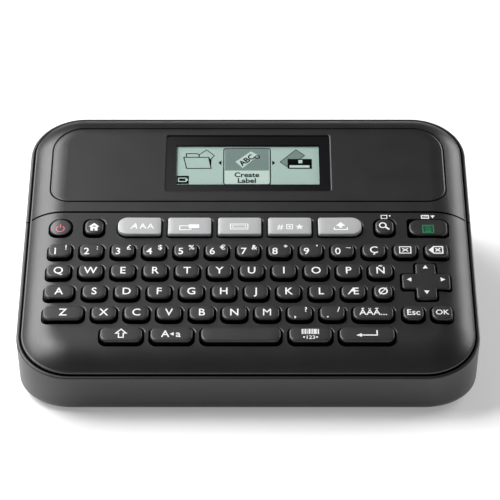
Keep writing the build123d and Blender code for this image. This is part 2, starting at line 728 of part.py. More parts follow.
def key_block(key, inset, z0, z1):
    """A key's hole, shrunk by inset, as a block."""
    x, q, width, depth, radii = key
    plan = corner_plan(width - 2 * inset, depth - 2 * inset, [radius - inset for radius in radii])
    return Pos(x + width / 2, q + depth / 2, z0) * extrude(plan, amount=z1 - z0)


def hole(key):
    """What a key's hole takes out of the deck."""
    return key_block(key, 0, -SKIRT_DEPTH, KEY_TOP)


def key_cap(key):
    """Cap with a rounded upper edge, and the flange that stops it under the deck."""
    cap = key_block(key, KEY_GAP, KEY_BASE, KEY_TOP)
    cap = fillet(cap.edges().group_by(Axis.Z)[-1], KEY_EDGE)
    return cap + key_block(key, KEY_GAP - FLANGE, KEY_BASE, KEY_BASE + FLANGE_THICK)


def pad_form(inset, z0, z1):
    """The four-way pad's cross, shrunk by inset."""
    half = PAD_SPAN / 2 - inset
    arm = PAD_ARM / 2 - inset
    corner = PAD_ROUND - inset / 2
    cross = prism(-half, half, -arm, arm, corner, z0, z1) + prism(-arm, arm, -half, half, corner, z0, z1)
    return Pos(PAD_X, PAD_Q, 0) * cross


def arrow_pad():
    """Cross that rocks on a pivot under its middle."""
    pad = pad_form(PAD_GAP, KEY_BASE, PAD_TOP)
    pad = chamfer(pad.edges().group_by(Axis.Z)[-1], KEY_EDGE / 2)
    return SLAB * (pad - rod(PAD_X, PAD_Q, KEY_BASE, KEY_BASE + PIVOT_RISE, PIVOT_RADIUS + KEY_GAP))


def pad_pivot():
    """Stub on the mat that the pad rocks on."""
    return SLAB * rod(PAD_X, PAD_Q, MAT_TOP + 2 * FIT, KEY_BASE + PIVOT_RISE - 2 * FIT, PIVOT_RADIUS)


def keypad_mat():
    """Rubber sheet under the keys, holed for the deck's posts."""
    mat = prism(-BOARD_HALF, BOARD_HALF, BOARD_FRONT, BOARD_REAR, BOARD_CORNER, BOARD_TOP, MAT_TOP)
    mat -= [rod(x, q, BOARD_TOP, MAT_TOP, radius + KEY_GAP) for x, q, radius in board_posts()]
    return SLAB * mat


def keypad_board():
    """Circuit board under the mat."""
    return SLAB * prism(-BOARD_HALF, BOARD_HALF, BOARD_FRONT, BOARD_REAR, BOARD_CORNER,
                        BOARD_TOP - BOARD_THICK, BOARD_TOP)


# Tape door

def tape_cover():
    """Door plate with its hinge barrel and a window."""
    half = DOOR_WIDTH / 2
    high = HINGE_HEIGHT + DOOR_LENGTH
    door = block(-half, half, HINGE_HEIGHT, high, -DOOR_THICK, 0)
    door += bar(-half, half, HINGE_HEIGHT, -HINGE_RADIUS, HINGE_RADIUS)
    door -= bar(-half, half, HINGE_HEIGHT, -HINGE_RADIUS, PIN_RADIUS + PIN_CLEAR)
    door -= window_form(-WINDOW_LAP, -DOOR_THICK, 0)
    return BACK * (door - window_form(FIT, -DOOR_THICK, -DOOR_THICK + WINDOW_THICK))


def window_form(outset, z0, z1):
    """The door's window, grown by outset, as a block over the cassette."""
    x = CASSETTE_LEFT + CASSETTE_WIDTH / 2
    u = HINGE_HEIGHT + DOOR_LENGTH / 2
    w = WINDOW_WIDTH / 2 + WINDOW_LAP + outset
    h = WINDOW_LENGTH / 2 + WINDOW_LAP + outset
    return block(x - w, x + w, u - h, u + h, z0, z1)


def tape_window():
    """Clear pane let into the inside of the door."""
    return BACK * window_form(0, -DOOR_THICK, -DOOR_THICK + WINDOW_THICK)


def cover_hinge_pin():
    """Steel pin through the door's barrel into the case on both sides."""
    reach = DOOR_WIDTH / 2 + DOOR_GAP + PIN_GRIP - FIT
    return BACK * bar(-reach, reach, HINGE_HEIGHT, -HINGE_RADIUS, PIN_RADIUS)


# Tape compartment

def tray_posts():
    """Where the tray is carried by the back wall, clear of the door and the cutter."""
    low = TRAY_LOW + TRAY_POST + CASSETTE_FIT
    places = [(-TRAY_POST_X, low), (TRAY_POST_X, low)]
    under_cutter = TAPE_U - CUTTER_LOW - TRAY_POST - CASSETTE_FIT
    return places + [(-TRAY_POST_X, TRAY_HIGH - 2 * TRAY_POST), (TRAY_POST_X, under_cutter)]


def tape_bay():
    """Tray with a pocket for the cassette, on posts from the back wall."""
    right = CUTTER_X + CUTTER_PLATE + TRAY_WALL
    tray = block(-TRAY_HALF, max(right, TRAY_HALF), TRAY_LOW, TRAY_HIGH, TRAY_UNDER, TRAY_TOP)
    fit = CASSETTE_FIT
    low = CASSETTE_LOW - fit
    high = CASSETTE_LOW + CASSETTE_LENGTH + fit
    left = CASSETTE_LEFT - fit
    ring = block(left - TRAY_WALL, CASSETTE_RIGHT + fit + TRAY_WALL, low - TRAY_WALL, high + TRAY_WALL,
                 TRAY_TOP, TRAY_TOP + TRAY_RISE)
    ring -= block(left, CASSETTE_RIGHT + fit, low, high, TRAY_TOP, TRAY_TOP + TRAY_RISE)
    ring -= block(CASSETTE_RIGHT, CASSETTE_RIGHT + 2 * TRAY_WALL, PLATEN_U, high, TRAY_TOP, TRAY_TOP + TRAY_RISE)
    tray += ring
    tray += [rod(x, u, TRAY_UNDER, BACK_INSIDE, TRAY_POST) for x, u in tray_posts()]
    tray += rod(PLATEN_X + HEAD_PIVOT_OUT, STRIP_U + HEAD_PIVOT_UP, TRAY_TOP, CASSETTE_FACE, SHAFT_RADIUS)
    tray -= rod(PLATEN_X, PLATEN_U, TRAY_UNDER, TRAY_TOP, SHAFT_RADIUS + SHAFT_CLEAR)
    tray -= rod(SPINDLE_X, SPINDLE_U, TRAY_UNDER, TRAY_TOP, SHAFT_RADIUS + SHAFT_CLEAR)
    return BACK * tray


def tape_cassette():
    """Cassette with the take-up hub's hole and the supply roll's window."""
    shell = prism(CASSETTE_LEFT, CASSETTE_RIGHT, CASSETTE_LOW, CASSETTE_LOW + CASSETTE_LENGTH,
                  CASSETTE_ROUND, CASSETTE_FACE - CASSETTE_THICK, CASSETTE_FACE)
    shell -= rod(SPINDLE_X, SPINDLE_U, CASSETTE_FACE - CASSETTE_THICK, CASSETTE_FACE, HUB_RADIUS)
    supply_x = CASSETTE_LEFT + CASSETTE_WIDTH / 3
    supply_u = CASSETTE_LOW + CASSETTE_LENGTH / 2
    shell -= rod(supply_x, supply_u, CASSETTE_FACE - TRAY_WALL, CASSETTE_FACE, SUPPLY_RADIUS)
    return BACK * (shell - tape_slot(CASSETTE_RIGHT - SUPPLY_RADIUS, CASSETTE_RIGHT, 0))


def print_head():
    """Heat-sink plate with its heating strip, on an arm that lifts off the platen."""
    x0 = PLATEN_X - HEAD_WIDTH / 2
    low = TRAY_TOP + CASSETTE_FIT
    middle = CASSETTE_FACE - CASSETTE_THICK / 2
    pivot_x = PLATEN_X + HEAD_PIVOT_OUT
    pivot_u = STRIP_U + HEAD_PIVOT_UP
    top_u = STRIP_U + STRIP_THICK + HEAD_THICK
    plate = block(x0, pivot_x, STRIP_U + STRIP_THICK, top_u, middle - TAPE_WIDTH / 2, middle + TAPE_WIDTH / 2)
    link = block(pivot_x - HEAD_BOSS, pivot_x, STRIP_U + STRIP_THICK, pivot_u, low, middle + TAPE_WIDTH / 2)
    strip = block(PLATEN_X - STRIP_WIDTH / 2, PLATEN_X + STRIP_WIDTH / 2, STRIP_U, STRIP_U + STRIP_THICK,
                  middle - TAPE_WIDTH / 2, middle + TAPE_WIDTH / 2)
    boss = rod(pivot_x, pivot_u, low, middle + TAPE_WIDTH / 2, HEAD_BOSS)
    head = plate + link + strip + boss
    return BACK * (head - rod(pivot_x, pivot_u, low, CASSETTE_FACE, SHAFT_RADIUS + SHAFT_CLEAR))


# Gears

def gear_phase(teeth, turn, mate_teeth, mate_phase):
    """Turn, in degrees, that puts a gap of this gear on a tooth of its mate, which lies at turn."""
    share = ((turn + 180 - mate_phase) * mate_teeth / 360) % 1
    return turn - (0.5 - share) * 360 / teeth


def gear_form(teeth, phase, z0, z1):
    """Spur gear about the origin with involute flanks, a tooth at the angle phase."""
    pitch = MODULE * teeth / 2
    base = pitch * math.cos(math.radians(PRESSURE))
    tip = pitch + ADDENDUM * MODULE
    root = pitch - DEDENDUM * MODULE

    def involute(radius):
        angle = math.acos(min(1.0, base / radius))
        return math.tan(angle) - angle

    def half_angle(radius):
        at_pitch = math.pi / (2 * teeth) - BACKLASH / (2 * pitch)
        return at_pitch + involute(pitch) - involute(max(radius, base))

    flank = [root, max(base, root + ROOT_RISE * MODULE), pitch, tip]
    points = []
    for i in range(teeth):
        centre = math.radians(phase) + 2 * math.pi * i / teeth
        for radius in flank:
            points.append((radius, centre - half_angle(radius)))
        for radius in reversed(flank):
            points.append((radius, centre + half_angle(radius)))
    outline = [(radius * math.cos(angle), radius * math.sin(angle)) for radius, angle in points]
    face = make_face(Polyline(*outline, close=True))
    return Pos(0, 0, z0) * extrude(face, amount=z1 - z0)


PLATEN_PHASE = 0.0
IDLER_PHASE = gear_phase(IDLER_TEETH, IDLER_TURN + 180, PLATEN_TEETH, PLATEN_PHASE)
PINION_PHASE = gear_phase(PINION_TEETH, PINION_TURN + 180, IDLER_TEETH, IDLER_PHASE)
SPINDLE_PHASE = gear_phase(SPINDLE_TEETH, SPINDLE_TURN + 180, PLATEN_TEETH, PLATEN_PHASE)


def platen_roller():
    """Rubber roller on its shaft, with its gear under the tray."""
    middle = CASSETTE_FACE - CASSETTE_THICK / 2
    roller = rod(0, 0, middle - TAPE_WIDTH / 2, middle + TAPE_WIDTH / 2, PLATEN_RADIUS)
    shaft = rod(0, 0, PLATE_UNDER, middle, SHAFT_RADIUS)
    gear = gear_form(PLATEN_TEETH, PLATEN_PHASE, GEAR_UNDER, GEAR_TOP)
    return BACK * (Pos(PLATEN_X, PLATEN_U, 0) * (roller + shaft + gear))


def ribbon_spindle():
    """Splined spindle that winds up the used ribbon in the cassette."""
    head = rod(0, 0, TRAY_TOP + CASSETTE_FIT, CASSETTE_FACE - TRAY_WALL, SPINDLE_RADIUS)
    groove = block(SPINDLE_RADIUS - SPLINE_DEPTH, 2 * SPINDLE_RADIUS, -SPLINE_DEPTH, SPLINE_DEPTH,
                   TRAY_TOP, CASSETTE_FACE)
    head -= [Rot(0, 0, 360 * i / SPLINES) * groove for i in range(SPLINES)]
    shaft = rod(0, 0, PLATE_UNDER, TRAY_TOP + CASSETTE_FIT, SHAFT_RADIUS)
    gear = gear_form(SPINDLE_TEETH, SPINDLE_PHASE, GEAR_UNDER, GEAR_TOP)
    return BACK * (Pos(SPINDLE_X, SPINDLE_U, 0) * (head + shaft + gear))


def reduction_gear():
    """Gear between the motor and the platen, on a stud of the gear plate."""
    gear = gear_form(IDLER_TEETH, IDLER_PHASE, GEAR_UNDER, GEAR_TOP)
    gear -= rod(0, 0, GEAR_UNDER, GEAR_TOP, SHAFT_RADIUS + SHAFT_CLEAR)
    return BACK * (Pos(IDLER_X, IDLER_U, 0) * gear)


def motor_pinion():
    """Pinion and the motor's shaft."""
    gear = gear_form(PINION_TEETH, PINION_PHASE, GEAR_UNDER, GEAR_TOP)
    shaft = rod(0, 0, PLATE_UNDER - MOTOR_BORE_DEPTH + GEAR_CLEAR, GEAR_TOP, MOTOR_SHAFT)
    return BACK * (Pos(PINION_X, PINION_U, 0) * (gear + shaft))


def drive_motor():
    """Motor can under the gear plate."""
    can = rod(0, 0, PLATE_UNDER - MOTOR_LENGTH, PLATE_UNDER, MOTOR_RADIUS)
    can -= rod(0, 0, PLATE_UNDER - MOTOR_BORE_DEPTH, PLATE_UNDER, MOTOR_SHAFT + SHAFT_CLEAR)
    flat = block(-FAR, FAR, MOTOR_FLAT * MOTOR_RADIUS, FAR, -FAR, FAR)
    return BACK * (Pos(PINION_X, PINION_U, 0) * (can - flat))


def standoffs():
    """Posts between the gear plate and the tray, outside the gears."""
    clear = STANDOFF_RADIUS + GEAR_CLEAR + MODULE
    spindle_reach = MODULE * SPINDLE_TEETH / 2 + clear
    pinion_reach = MODULE * PINION_TEETH / 2 + clear
    near = (PLATEN_X, PLATEN_U - MODULE * PLATEN_TEETH / 2 - clear - STANDOFF_RADIUS)
    right = (PINION_X + pinion_reach, PINION_U - pinion_reach)
    left = (SPINDLE_X, SPINDLE_U + spindle_reach)
    return [near, right, left]


def gear_plate():
    """Plate under the gears, with the stud of the reduction gear and the standoffs."""
    places = standoffs()
    margin = STANDOFF_RADIUS + PLATE_MARGIN
    low = min(u for x, u in places) - margin
    left = SPINDLE_X - MODULE * SPINDLE_TEETH / 2
    right = max(PINION_X + MOTOR_RADIUS, places[1][0] + margin)
    high = max(IDLER_U, PINION_U + MOTOR_RADIUS) + PLATE_MARGIN
    plate = block(left, right, low, high, PLATE_UNDER, PLATE_TOP)
    plate += [rod(x, u, PLATE_UNDER, TRAY_UNDER, STANDOFF_RADIUS) for x, u in places]
    plate += rod(IDLER_X, IDLER_U, PLATE_UNDER, TRAY_UNDER, SHAFT_RADIUS)
    for x, u in ((PLATEN_X, PLATEN_U), (SPINDLE_X, SPINDLE_U)):
        plate -= rod(x, u, PLATE_UNDER, PLATE_TOP, SHAFT_RADIUS + SHAFT_CLEAR)
    return BACK * (plate - rod(PINION_X, PINION_U, PLATE_UNDER, PLATE_TOP, MOTOR_SHAFT + KEY_GAP))


# Cutter

def cutter_frame():
    """Plate across the tape's path, with two rails for the blade."""
    high_n = CASSETTE_FACE
    low = TAPE_U - CUTTER_LOW
    high = TAPE_U + CUTTER_HIGH
    plate = block(CUTTER_X, CUTTER_X + CUTTER_PLATE, low, high, TRAY_TOP, high_n)
    plate -= tape_slot(CUTTER_X, CUTTER_X + CUTTER_PLATE, 0)
    face = CUTTER_X - BLADE_THICK - 2 * BLADE_CLEAR
    for outer, turn in ((TRAY_TOP, 1), (high_n, -1)):
        inner = outer + turn * RAIL_WALL
        lap = inner + turn * (BLADE_CLEAR + RAIL_LAP)
        plate += block(face - RAIL_LIP, CUTTER_X, low, high, min(outer, inner), max(outer, inner))
        plate += block(face - RAIL_LIP, face, low, high, min(outer, lap), max(outer, lap))
    return BACK * plate


def cutter_blade():
    """Blade with a slanting edge, above the tape until it drops."""
    back = CUTTER_X - BLADE_CLEAR
    n0 = TRAY_TOP + RAIL_WALL + BLADE_CLEAR
    n1 = CASSETTE_FACE - RAIL_WALL - BLADE_CLEAR
    low = TAPE_U + BLADE_LIFT
    high = low + BLADE_SLANT + BLADE_LENGTH
    outline = Polyline((low, n0), (low + BLADE_SLANT, n1), (high, n1), (high, n0), close=True)
    blade = extrude(make_face(outline), amount=BLADE_THICK)
    upright = Plane(origin=(back - BLADE_THICK, 0, 0), x_dir=(0, 1, 0), z_dir=(1, 0, 0))
    return BACK * (upright * blade)


# Electronics

def main_board():
    """Circuit board on four bosses of the rear case."""
    low = CASE_FLOOR + MAIN_BOARD_LIFT
    return block(*MAIN_BOARD_X, *MAIN_BOARD_Y, low, low + BOARD_THICK)


def dc_jack():
    """Power socket behind the right wall, with its centre pin."""
    bottom = CASE_FLOOR + MAIN_BOARD_LIFT + BOARD_THICK
    inside = HALF - WALL
    middle = bottom + JACK_SIZE[2] / 2
    jack = block(inside - JACK_SIZE[0], inside, JACK_Y - JACK_SIZE[1] / 2, JACK_Y + JACK_SIZE[1] / 2,
                 bottom, bottom + JACK_SIZE[2])
    jack -= bar(inside - JACK_DEPTH, inside, JACK_Y, middle, JACK_BORE)
    return jack + bar(inside - JACK_DEPTH, inside - JACK_PIN, JACK_Y, middle, JACK_PIN)


def usb_port():
    """Data socket: a sheet-metal shell round a tongue."""
    bottom = CASE_FLOOR + MAIN_BOARD_LIFT + BOARD_THICK
    inside = HALF - WALL
    half = USB_SIZE[1] / 2
    x0 = inside - USB_SIZE[0]
    # A tail on the board's edge carries the shell out to the wall.
    shell = block(x0, inside, USB_Y - half, USB_Y + half, bottom, bottom + USB_SIZE[2])
    shell -= block(x0 + USB_WALL, inside, USB_Y - half + USB_WALL, USB_Y + half - USB_WALL,
                   bottom + USB_WALL, bottom + USB_SIZE[2] - USB_WALL)
    middle = bottom + USB_SIZE[2] / 2
    shell += block(x0, inside - USB_MARGIN, USB_Y - half / 2, USB_Y + half / 2,
                   middle - USB_WALL / 2, middle + USB_WALL / 2)
    return shell + block(MAIN_BOARD_X[1] - USB_SIZE[0], x0 + USB_WALL, USB_Y - half, USB_Y + half,
                         bottom, bottom + USB_WALL)


# Batteries

def cell_places():
    """Side, row and front-to-back place of every cell."""
    rows = range(CELL_ROWS)
    return [(side, row, CELL_MIDDLE + (row - (CELL_ROWS - 1) / 2) * CELL_PITCH)
            for row in rows for side in (-1, 1)]


def battery_cells():
    """Cells end to end in two bays, turned about row by row."""
    cells = []
    start = BOX_WALL / 2 + CONTACT_ROOM
    for side, row, y in cell_places():
        can = bar(start, start + CELL_LENGTH - NUB_LENGTH, y, CELL_Z, CELL_RADIUS)
        nub = bar(start, start + CELL_LENGTH, y, CELL_Z, CELL_NUB)
        cell = can + nub
        if side < 0:
            cell = mirror(cell, about=Plane.YZ)
        cells.append(cell)
    return cells


def battery_contacts():
    """Spring plates on the end walls and the middle rib of the box."""
    plates = []
    half = CONTACT_SIZE / 2
    for side, row, y in cell_places():
        for x in (BOX_WALL / 2, BOX_HALF - CONTACT_THICK):
            plate = block(x, x + CONTACT_THICK, y - half, y + half, CELL_Z - half, CELL_Z + half)
            if side < 0:
                plate = mirror(plate, about=Plane.YZ)
            plates.append(plate)
    return plates


def battery_cover():
    """Cover in the floor. Its front edge is a barrel that turns on two trunnions."""
    cover = block(-COVER_HALF, COVER_HALF, COVER_AXIS_Y, COVER_REAR, FOOT_HEIGHT, FOOT_HEIGHT + COVER_THICK)
    cover += bar(-COVER_HALF, COVER_HALF, COVER_AXIS_Y, COVER_AXIS_Z, COVER_THICK / 2)
    reach = COVER_HALF + COVER_GAP + TRUNNION_LENGTH - FIT
    return cover + bar(-reach, reach, COVER_AXIS_Y, COVER_AXIS_Z, TRUNNION_RADIUS)


# Feet and screws

def rubber_feet():
    """Four feet, each in its recess."""
    return [rod(x, y, 0, FOOT_HEIGHT + FOOT_RECESS, FOOT_RADIUS) for x, y in foot_places()]


def case_screws():
    """Screws from below into the pillars of the top."""
    screws = []
    for x, y in screw_places([*SCREW_Y, REAR_SCREW_Y]):
        seat = FOOT_HEIGHT + HEAD_HEIGHT
        screws.append(rod(x, y, FOOT_HEIGHT, seat, HEAD_RADIUS)
                      + rod(x, y, seat, seat + SCREW_LENGTH, SCREW_RADIUS))
    return screws


def save(name, *pieces):
    """Write one node. Pieces that belong together share it as separate solids."""
    solids = [solid for piece in pieces for solid in piece.solids()]
    export_step(Compound(children=solids) if len(solids) > 1 else solids[0], f"parts/{name}.step")


os.makedirs("parts", exist_ok=True)
tub = tub_shell()
top = top_shell()
save("lower_case", lower_case(tub))
save("rear_case", rear_case(tub))
save("keyboard_deck", keyboard_deck(top))
save("display_housing", display_housing(top))
save("display_panel", display_panel())
save("display_lens", display_lens())
save("lcd_module", lcd_module())
for row_name, row_keys in ROW_KEYS.items():
    save(row_name, *[SLAB * key_cap(key) for key in row_keys])
for key_name in SINGLE_KEYS:
    save(key_name, SLAB * key_cap(single_key(key_name)))
for key_name in FUNCTION_KEYS:
    save(key_name, SLAB * key_cap(function_key(key_name)))
save("arrow_pad", arrow_pad())
save("pad_pivot", pad_pivot())
save("keypad_mat", keypad_mat())
save("keypad_board", keypad_board())
save("tape_cover", tape_cover())
save("tape_window", tape_window())
save("cover_hinge_pin", cover_hinge_pin())
save("tape_bay", tape_bay())
save("tape_cassette", tape_cassette())
save("print_head", print_head())
save("platen_roller", platen_roller())
save("ribbon_spindle", ribbon_spindle())
save("reduction_gear", reduction_gear())
save("motor_pinion", motor_pinion())
save("drive_motor", drive_motor())
save("gear_plate", gear_plate())
save("cutter_frame", cutter_frame())
save("cutter_blade", cutter_blade())
save("main_board", main_board())
save("dc_jack", dc_jack())
save("usb_port", usb_port())
save("battery_cells", *battery_cells())
save("battery_contacts", *battery_contacts())
save("battery_cover", battery_cover())
save("rubber_feet", *rubber_feet())
save("case_screws", *case_screws())
print("depth", round(DEPTH, 2), "rim height", round(REAR_TOP, 2))
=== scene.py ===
# %% [markdown]
# # A desktop label maker
# This lesson dresses a label maker for its photograph. The solid parts come from CAD, in metres and in
# their real places. Blender adds what CAD leaves plain: soft-edged key caps, printed legends, the picture
# on the screen, the finishes, the light and the camera.
# The frame is loaded first.

# %% Load the frame
import json
import math
import bpy
import numpy as np
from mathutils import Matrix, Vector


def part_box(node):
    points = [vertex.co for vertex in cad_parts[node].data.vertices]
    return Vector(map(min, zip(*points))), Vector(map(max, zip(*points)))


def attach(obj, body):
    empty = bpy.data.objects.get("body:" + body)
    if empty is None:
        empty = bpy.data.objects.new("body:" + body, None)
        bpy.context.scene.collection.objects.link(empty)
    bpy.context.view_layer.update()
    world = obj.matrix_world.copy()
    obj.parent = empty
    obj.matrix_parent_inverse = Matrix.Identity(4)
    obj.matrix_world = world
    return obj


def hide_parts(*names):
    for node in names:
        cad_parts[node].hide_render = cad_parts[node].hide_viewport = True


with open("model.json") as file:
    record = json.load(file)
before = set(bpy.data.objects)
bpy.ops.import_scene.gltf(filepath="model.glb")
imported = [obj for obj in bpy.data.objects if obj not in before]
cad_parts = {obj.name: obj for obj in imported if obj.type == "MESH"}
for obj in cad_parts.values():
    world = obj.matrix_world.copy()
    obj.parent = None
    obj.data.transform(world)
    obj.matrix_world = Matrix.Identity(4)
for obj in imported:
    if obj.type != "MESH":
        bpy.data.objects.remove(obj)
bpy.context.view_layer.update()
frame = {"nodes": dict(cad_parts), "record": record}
nodes = frame["nodes"]

# %% [markdown]
# ## Working planes
# The keyboard lies on a slope, the battery cover under the case and the power inlet in the right wall.
# Points are easiest to write down on those faces: so far across, so far up, so far out. A working plane
# turns such points into metres in the frame. It could be done with rotated parents, but then a piece's
# place would not be in its own mesh. The sizes are those of the CAD model, in millimetres.

# %% Planes of the case
MM = 0.001
SLOPE, LEAN = math.radians(20.5), math.radians(31.6)
SLAB_LENGTH, HALF_WIDTH, RIM, FRONT_SEAM, FOOT, EDGE = 142.7, 94.0, 2.0, 20.6, 1.2, 5.0


class Plane:
    """A flat face of the case: a point is its origin plus across, up and out times their directions."""

    def __init__(self, origin, across, up):
        self.origin = np.array(origin, float)
        self.axes = np.stack([across, up, np.cross(across, up)]).astype(float)

    def place(self, points):
        """Points across, up and out in millimetres, turned into metres in the frame."""
        return (self.origin + np.asarray(points, float) @ self.axes) * MM


rear_top = FRONT_SEAM + (SLAB_LENGTH + RIM) * math.sin(SLOPE)
toe = EDGE * ((1 + math.sin(LEAN)) / math.cos(LEAN) - 1)
front_y = -((SLAB_LENGTH + 2 * RIM) * math.cos(SLOPE) + (rear_top - FOOT) * math.tan(LEAN) - toe) / 2
TOP = Plane((0, front_y + RIM * math.cos(SLOPE), FRONT_SEAM), (1, 0, 0),
            (0, math.cos(SLOPE), math.sin(SLOPE)))
UNDER = Plane((0, 0, FOOT), (1, 0, 0), (0, -1, 0))
RIGHT = Plane((HALF_WIDTH, 0, 0), (0, 1, 0), (0, 0, 1))
print("front", round(front_y, 2), "keyboard normal", TOP.axes[2].round(3))

# %% [markdown]
# ## The camera
# The photograph was taken with a long lens from the front, a little above. The lens, the height and the
# tilt were worked out from the corners and key rows in the picture, so the render has the same frame.

# %% Camera
CAMERA_OFFSET, CAMERA_TILT = (0.776, -824.563, 485.52), math.radians(62.5)
eye = bpy.data.cameras.new("camera")
eye.lens, eye.sensor_width, eye.clip_end = 172.3, 36.0, 20.0
camera = bpy.data.objects.new("camera", eye)
camera.location = (TOP.origin + CAMERA_OFFSET) * MM
camera.rotation_euler = (CAMERA_TILT, 0, 0)
bpy.context.scene.collection.objects.link(camera)
bpy.context.scene.camera = camera
bpy.context.scene.view_settings.view_transform = "Standard"
print("camera at", tuple(camera.location))

# %% [markdown]
# ## A way to write shader maths
# A finish is a small circuit of nodes. Wiring it by hand is long, so one class wraps the output of a
# node: arithmetic on two wires adds a Math node, and add() makes any other node and fills its sockets.
# The nodes that nearly every finish needs have a short name of their own.

# %% Wires


class Wire:
    """The output of a node in a material. Sums and products of wires become Math nodes."""

    def __init__(self, tree, socket=None):
        self.tree, self.socket = tree, socket

    def put(self, socket, value):
        """Links a wire to a socket, or sets the socket's own value."""
        if isinstance(value, Wire):
            self.tree.links.new(value.socket, socket)
        else:
            socket.default_value = value

    def add(self, kind, settings=None, out=0, **inputs):
        """A node of this kind: its settings first, then its sockets by name, or by number as i0, i1."""
        node = self.tree.nodes.new(kind)
        for key, value in (settings or {}).items():
            setattr(node, key, value)
        for key, value in inputs.items():
            numbered = key[0] == "i" and key[1:].isdigit()
            self.put(node.inputs[int(key[1:]) if numbered else key.replace("_", " ")], value)
        return Wire(self.tree, node.outputs[out])

    def maths(self, operation, *values):
        """A Math node on wires or numbers."""
        return self.add("ShaderNodeMath", {"operation": operation},
                        **{f"i{n}": value for n, value in enumerate(values)})

    def __add__(self, other):
        return self.maths("ADD", self, other)

    def __sub__(self, other):
        return self.maths("SUBTRACT", self, other)

    def __rsub__(self, other):
        return self.maths("SUBTRACT", other, self)

    def __mul__(self, other):
        return self.maths("MULTIPLY", self, other)

    def __lt__(self, other):
        return self.maths("LESS_THAN", self, other)

    def __gt__(self, other):
        return self.maths("GREATER_THAN", self, other)

    __radd__, __rmul__ = __add__, __mul__

    def size(self):
        """The value without its sign."""
        return self.maths("ABSOLUTE", self)

    def part(self, n):
        """One of the three parts of a vector."""
        return self.add("ShaderNodeSeparateXYZ", out=n, Vector=self)

    def blend(self, low, high):
        """The colour low where this wire is 0 and high where it is 1."""
        return self.add("ShaderNodeMix", {"data_type": "RGBA"}, out=2, i0=self, i6=low, i7=high)

    def ramp(self, low, high, first, last):
        """A value that goes from first to last while this wire goes from low to high."""
        return self.add("ShaderNodeMapRange", Value=self, From_Min=low, From_Max=high, To_Min=first,
                        To_Max=last)

    def place(self):
        """Object coordinates, in metres."""
        return self.add("ShaderNodeTexCoord", out=3)

    def noise(self, scale, detail=2.0):
        """Noise on the coordinates that this wire carries."""
        return self.add("ShaderNodeTexNoise", Vector=self, Scale=scale, Detail=detail)

    def emboss(self, shader, strength, distance):
        """Makes this wire the height of a bump on the shader's normal."""
        bump = self.add("ShaderNodeBump", Height=self, Strength=strength, Distance=distance)
        self.put(shader.inputs["Normal"], bump)


def finish(name, **constants):
    """A material with one Principled shader, its plain values set on the shader's own sockets."""
    material = bpy.data.materials.new(name)
    material.use_nodes = True
    shader = material.node_tree.nodes["Principled BSDF"]
    for key, value in constants.items():
        shader.inputs[key.replace("_", " ")].default_value = value
    return material, Wire(material.node_tree), shader


print("wires ready")

# %% [markdown]
# ## Moulded plastic
# The case is satin black plastic. The mould leaves a fine grain, so gloss breaks up a little, and the
# colour is never quite even. Two noises on Object coordinates do this: a coarse one moves the colour and
# the roughness by a few percent, a fine one feeds the bump. Rubber and paint are the same idea with
# other numbers, so one function makes them all.
#
# Where a shell turns down into a seam, or a key down into its hole, the real part lies in shade. A mask on
# the slope's coordinates paints that shade: it takes the colour to black there, and Metallic to 1, because a
# black metal has no gloss of its own.

# %% Masks for painted shade at gaps
PER_METRE = 1000.0
SEAM_UP, SEAM_HALF = 82.8, 0.5
FLANK_START, FLANK_END = 0.45, 1.2


def slope_coordinates(place):
    """Object coordinates turned into millimetres across, up and out of the keyboard slope."""
    parts = [place.part(0) * PER_METRE]
    for axis in TOP.axes[1:]:
        _, ahead, above = (PER_METRE * axis).tolist()
        parts.append(place.part(1) * ahead + place.part(2) * above - float(TOP.origin @ axis))
    return parts


def seam(across, up, out):
    """1 within half a millimetre of the seam between the deck and the display, where a line of painted shade
    goes.
    """
    return (up - SEAM_UP).size() < SEAM_HALF


def flank_shade(top):
    """A mask that is 0 on the top of a key and rises to 1 down its side, where the side's shade is painted.
    """
    def mask(across, up, out):
        return out.ramp(top - FLANK_END, top - FLANK_START, 1.0, 0.0)
    return mask


def outside(x, q, half_across, half_up):
    """A mask that rises from 0 to 1 across an ellipse round a place on the slope: painted shade outside it.
    """
    def mask(across, up, out):
        aside, along = (across - x) * (1 / half_across), (up - q) * (1 / half_up)
        return (aside * aside + along * along).ramp(0.9, 1.15, 0.0, 1.0)
    return mask


print("masks ready, seam at", SEAM_UP, "mm up the slope")

# %% Plastics and rubbers
KEY_TOP, LOW_TOP, PAD_TOP = 8.5, 8.0, 7.5
BLACK, DARK = (0.001, 0.001, 0.001), (0.009, 0.009, 0.0093)


def shade(colour, factor):
    """A colour times a factor, at most 1 in each part, with a full alpha."""
    return tuple(min(1.0, c * factor) for c in colour) + (1.0,)


def moulded(name, colour, rough, grain=3200.0, depth=0.00004, spread=0.10, painted_shade=None, **constants):
    """Plastic with a moulded grain: colour and roughness drift with a coarse noise, bump with a fine one. A
    shade mask, if given, paints shade: black colour and Metallic 1 there.
    """
    material, wire, shader = finish(name, **constants)
    place = wire.place()
    drift = place.noise(90.0, 3.0)
    tint = drift.blend(shade(colour, 1 - spread), shade(colour, 1 + spread))
    # Painted shade: where the mask is 1 the colour is black and Metallic is 1, so there is no gloss.
    if painted_shade:
        dark = painted_shade(*slope_coordinates(place))
        tint = dark.blend(tint, shade(BLACK, 1))
        metal = shader.inputs["Metallic"]
        wire.put(metal, dark * (1 - metal.default_value) + metal.default_value)
    wire.put(shader.inputs["Base Color"], tint)
    wire.put(shader.inputs["Roughness"], rough - 0.05 + drift * 0.1)
    place.noise(grain).emboss(shader, 0.6, depth)
    return material


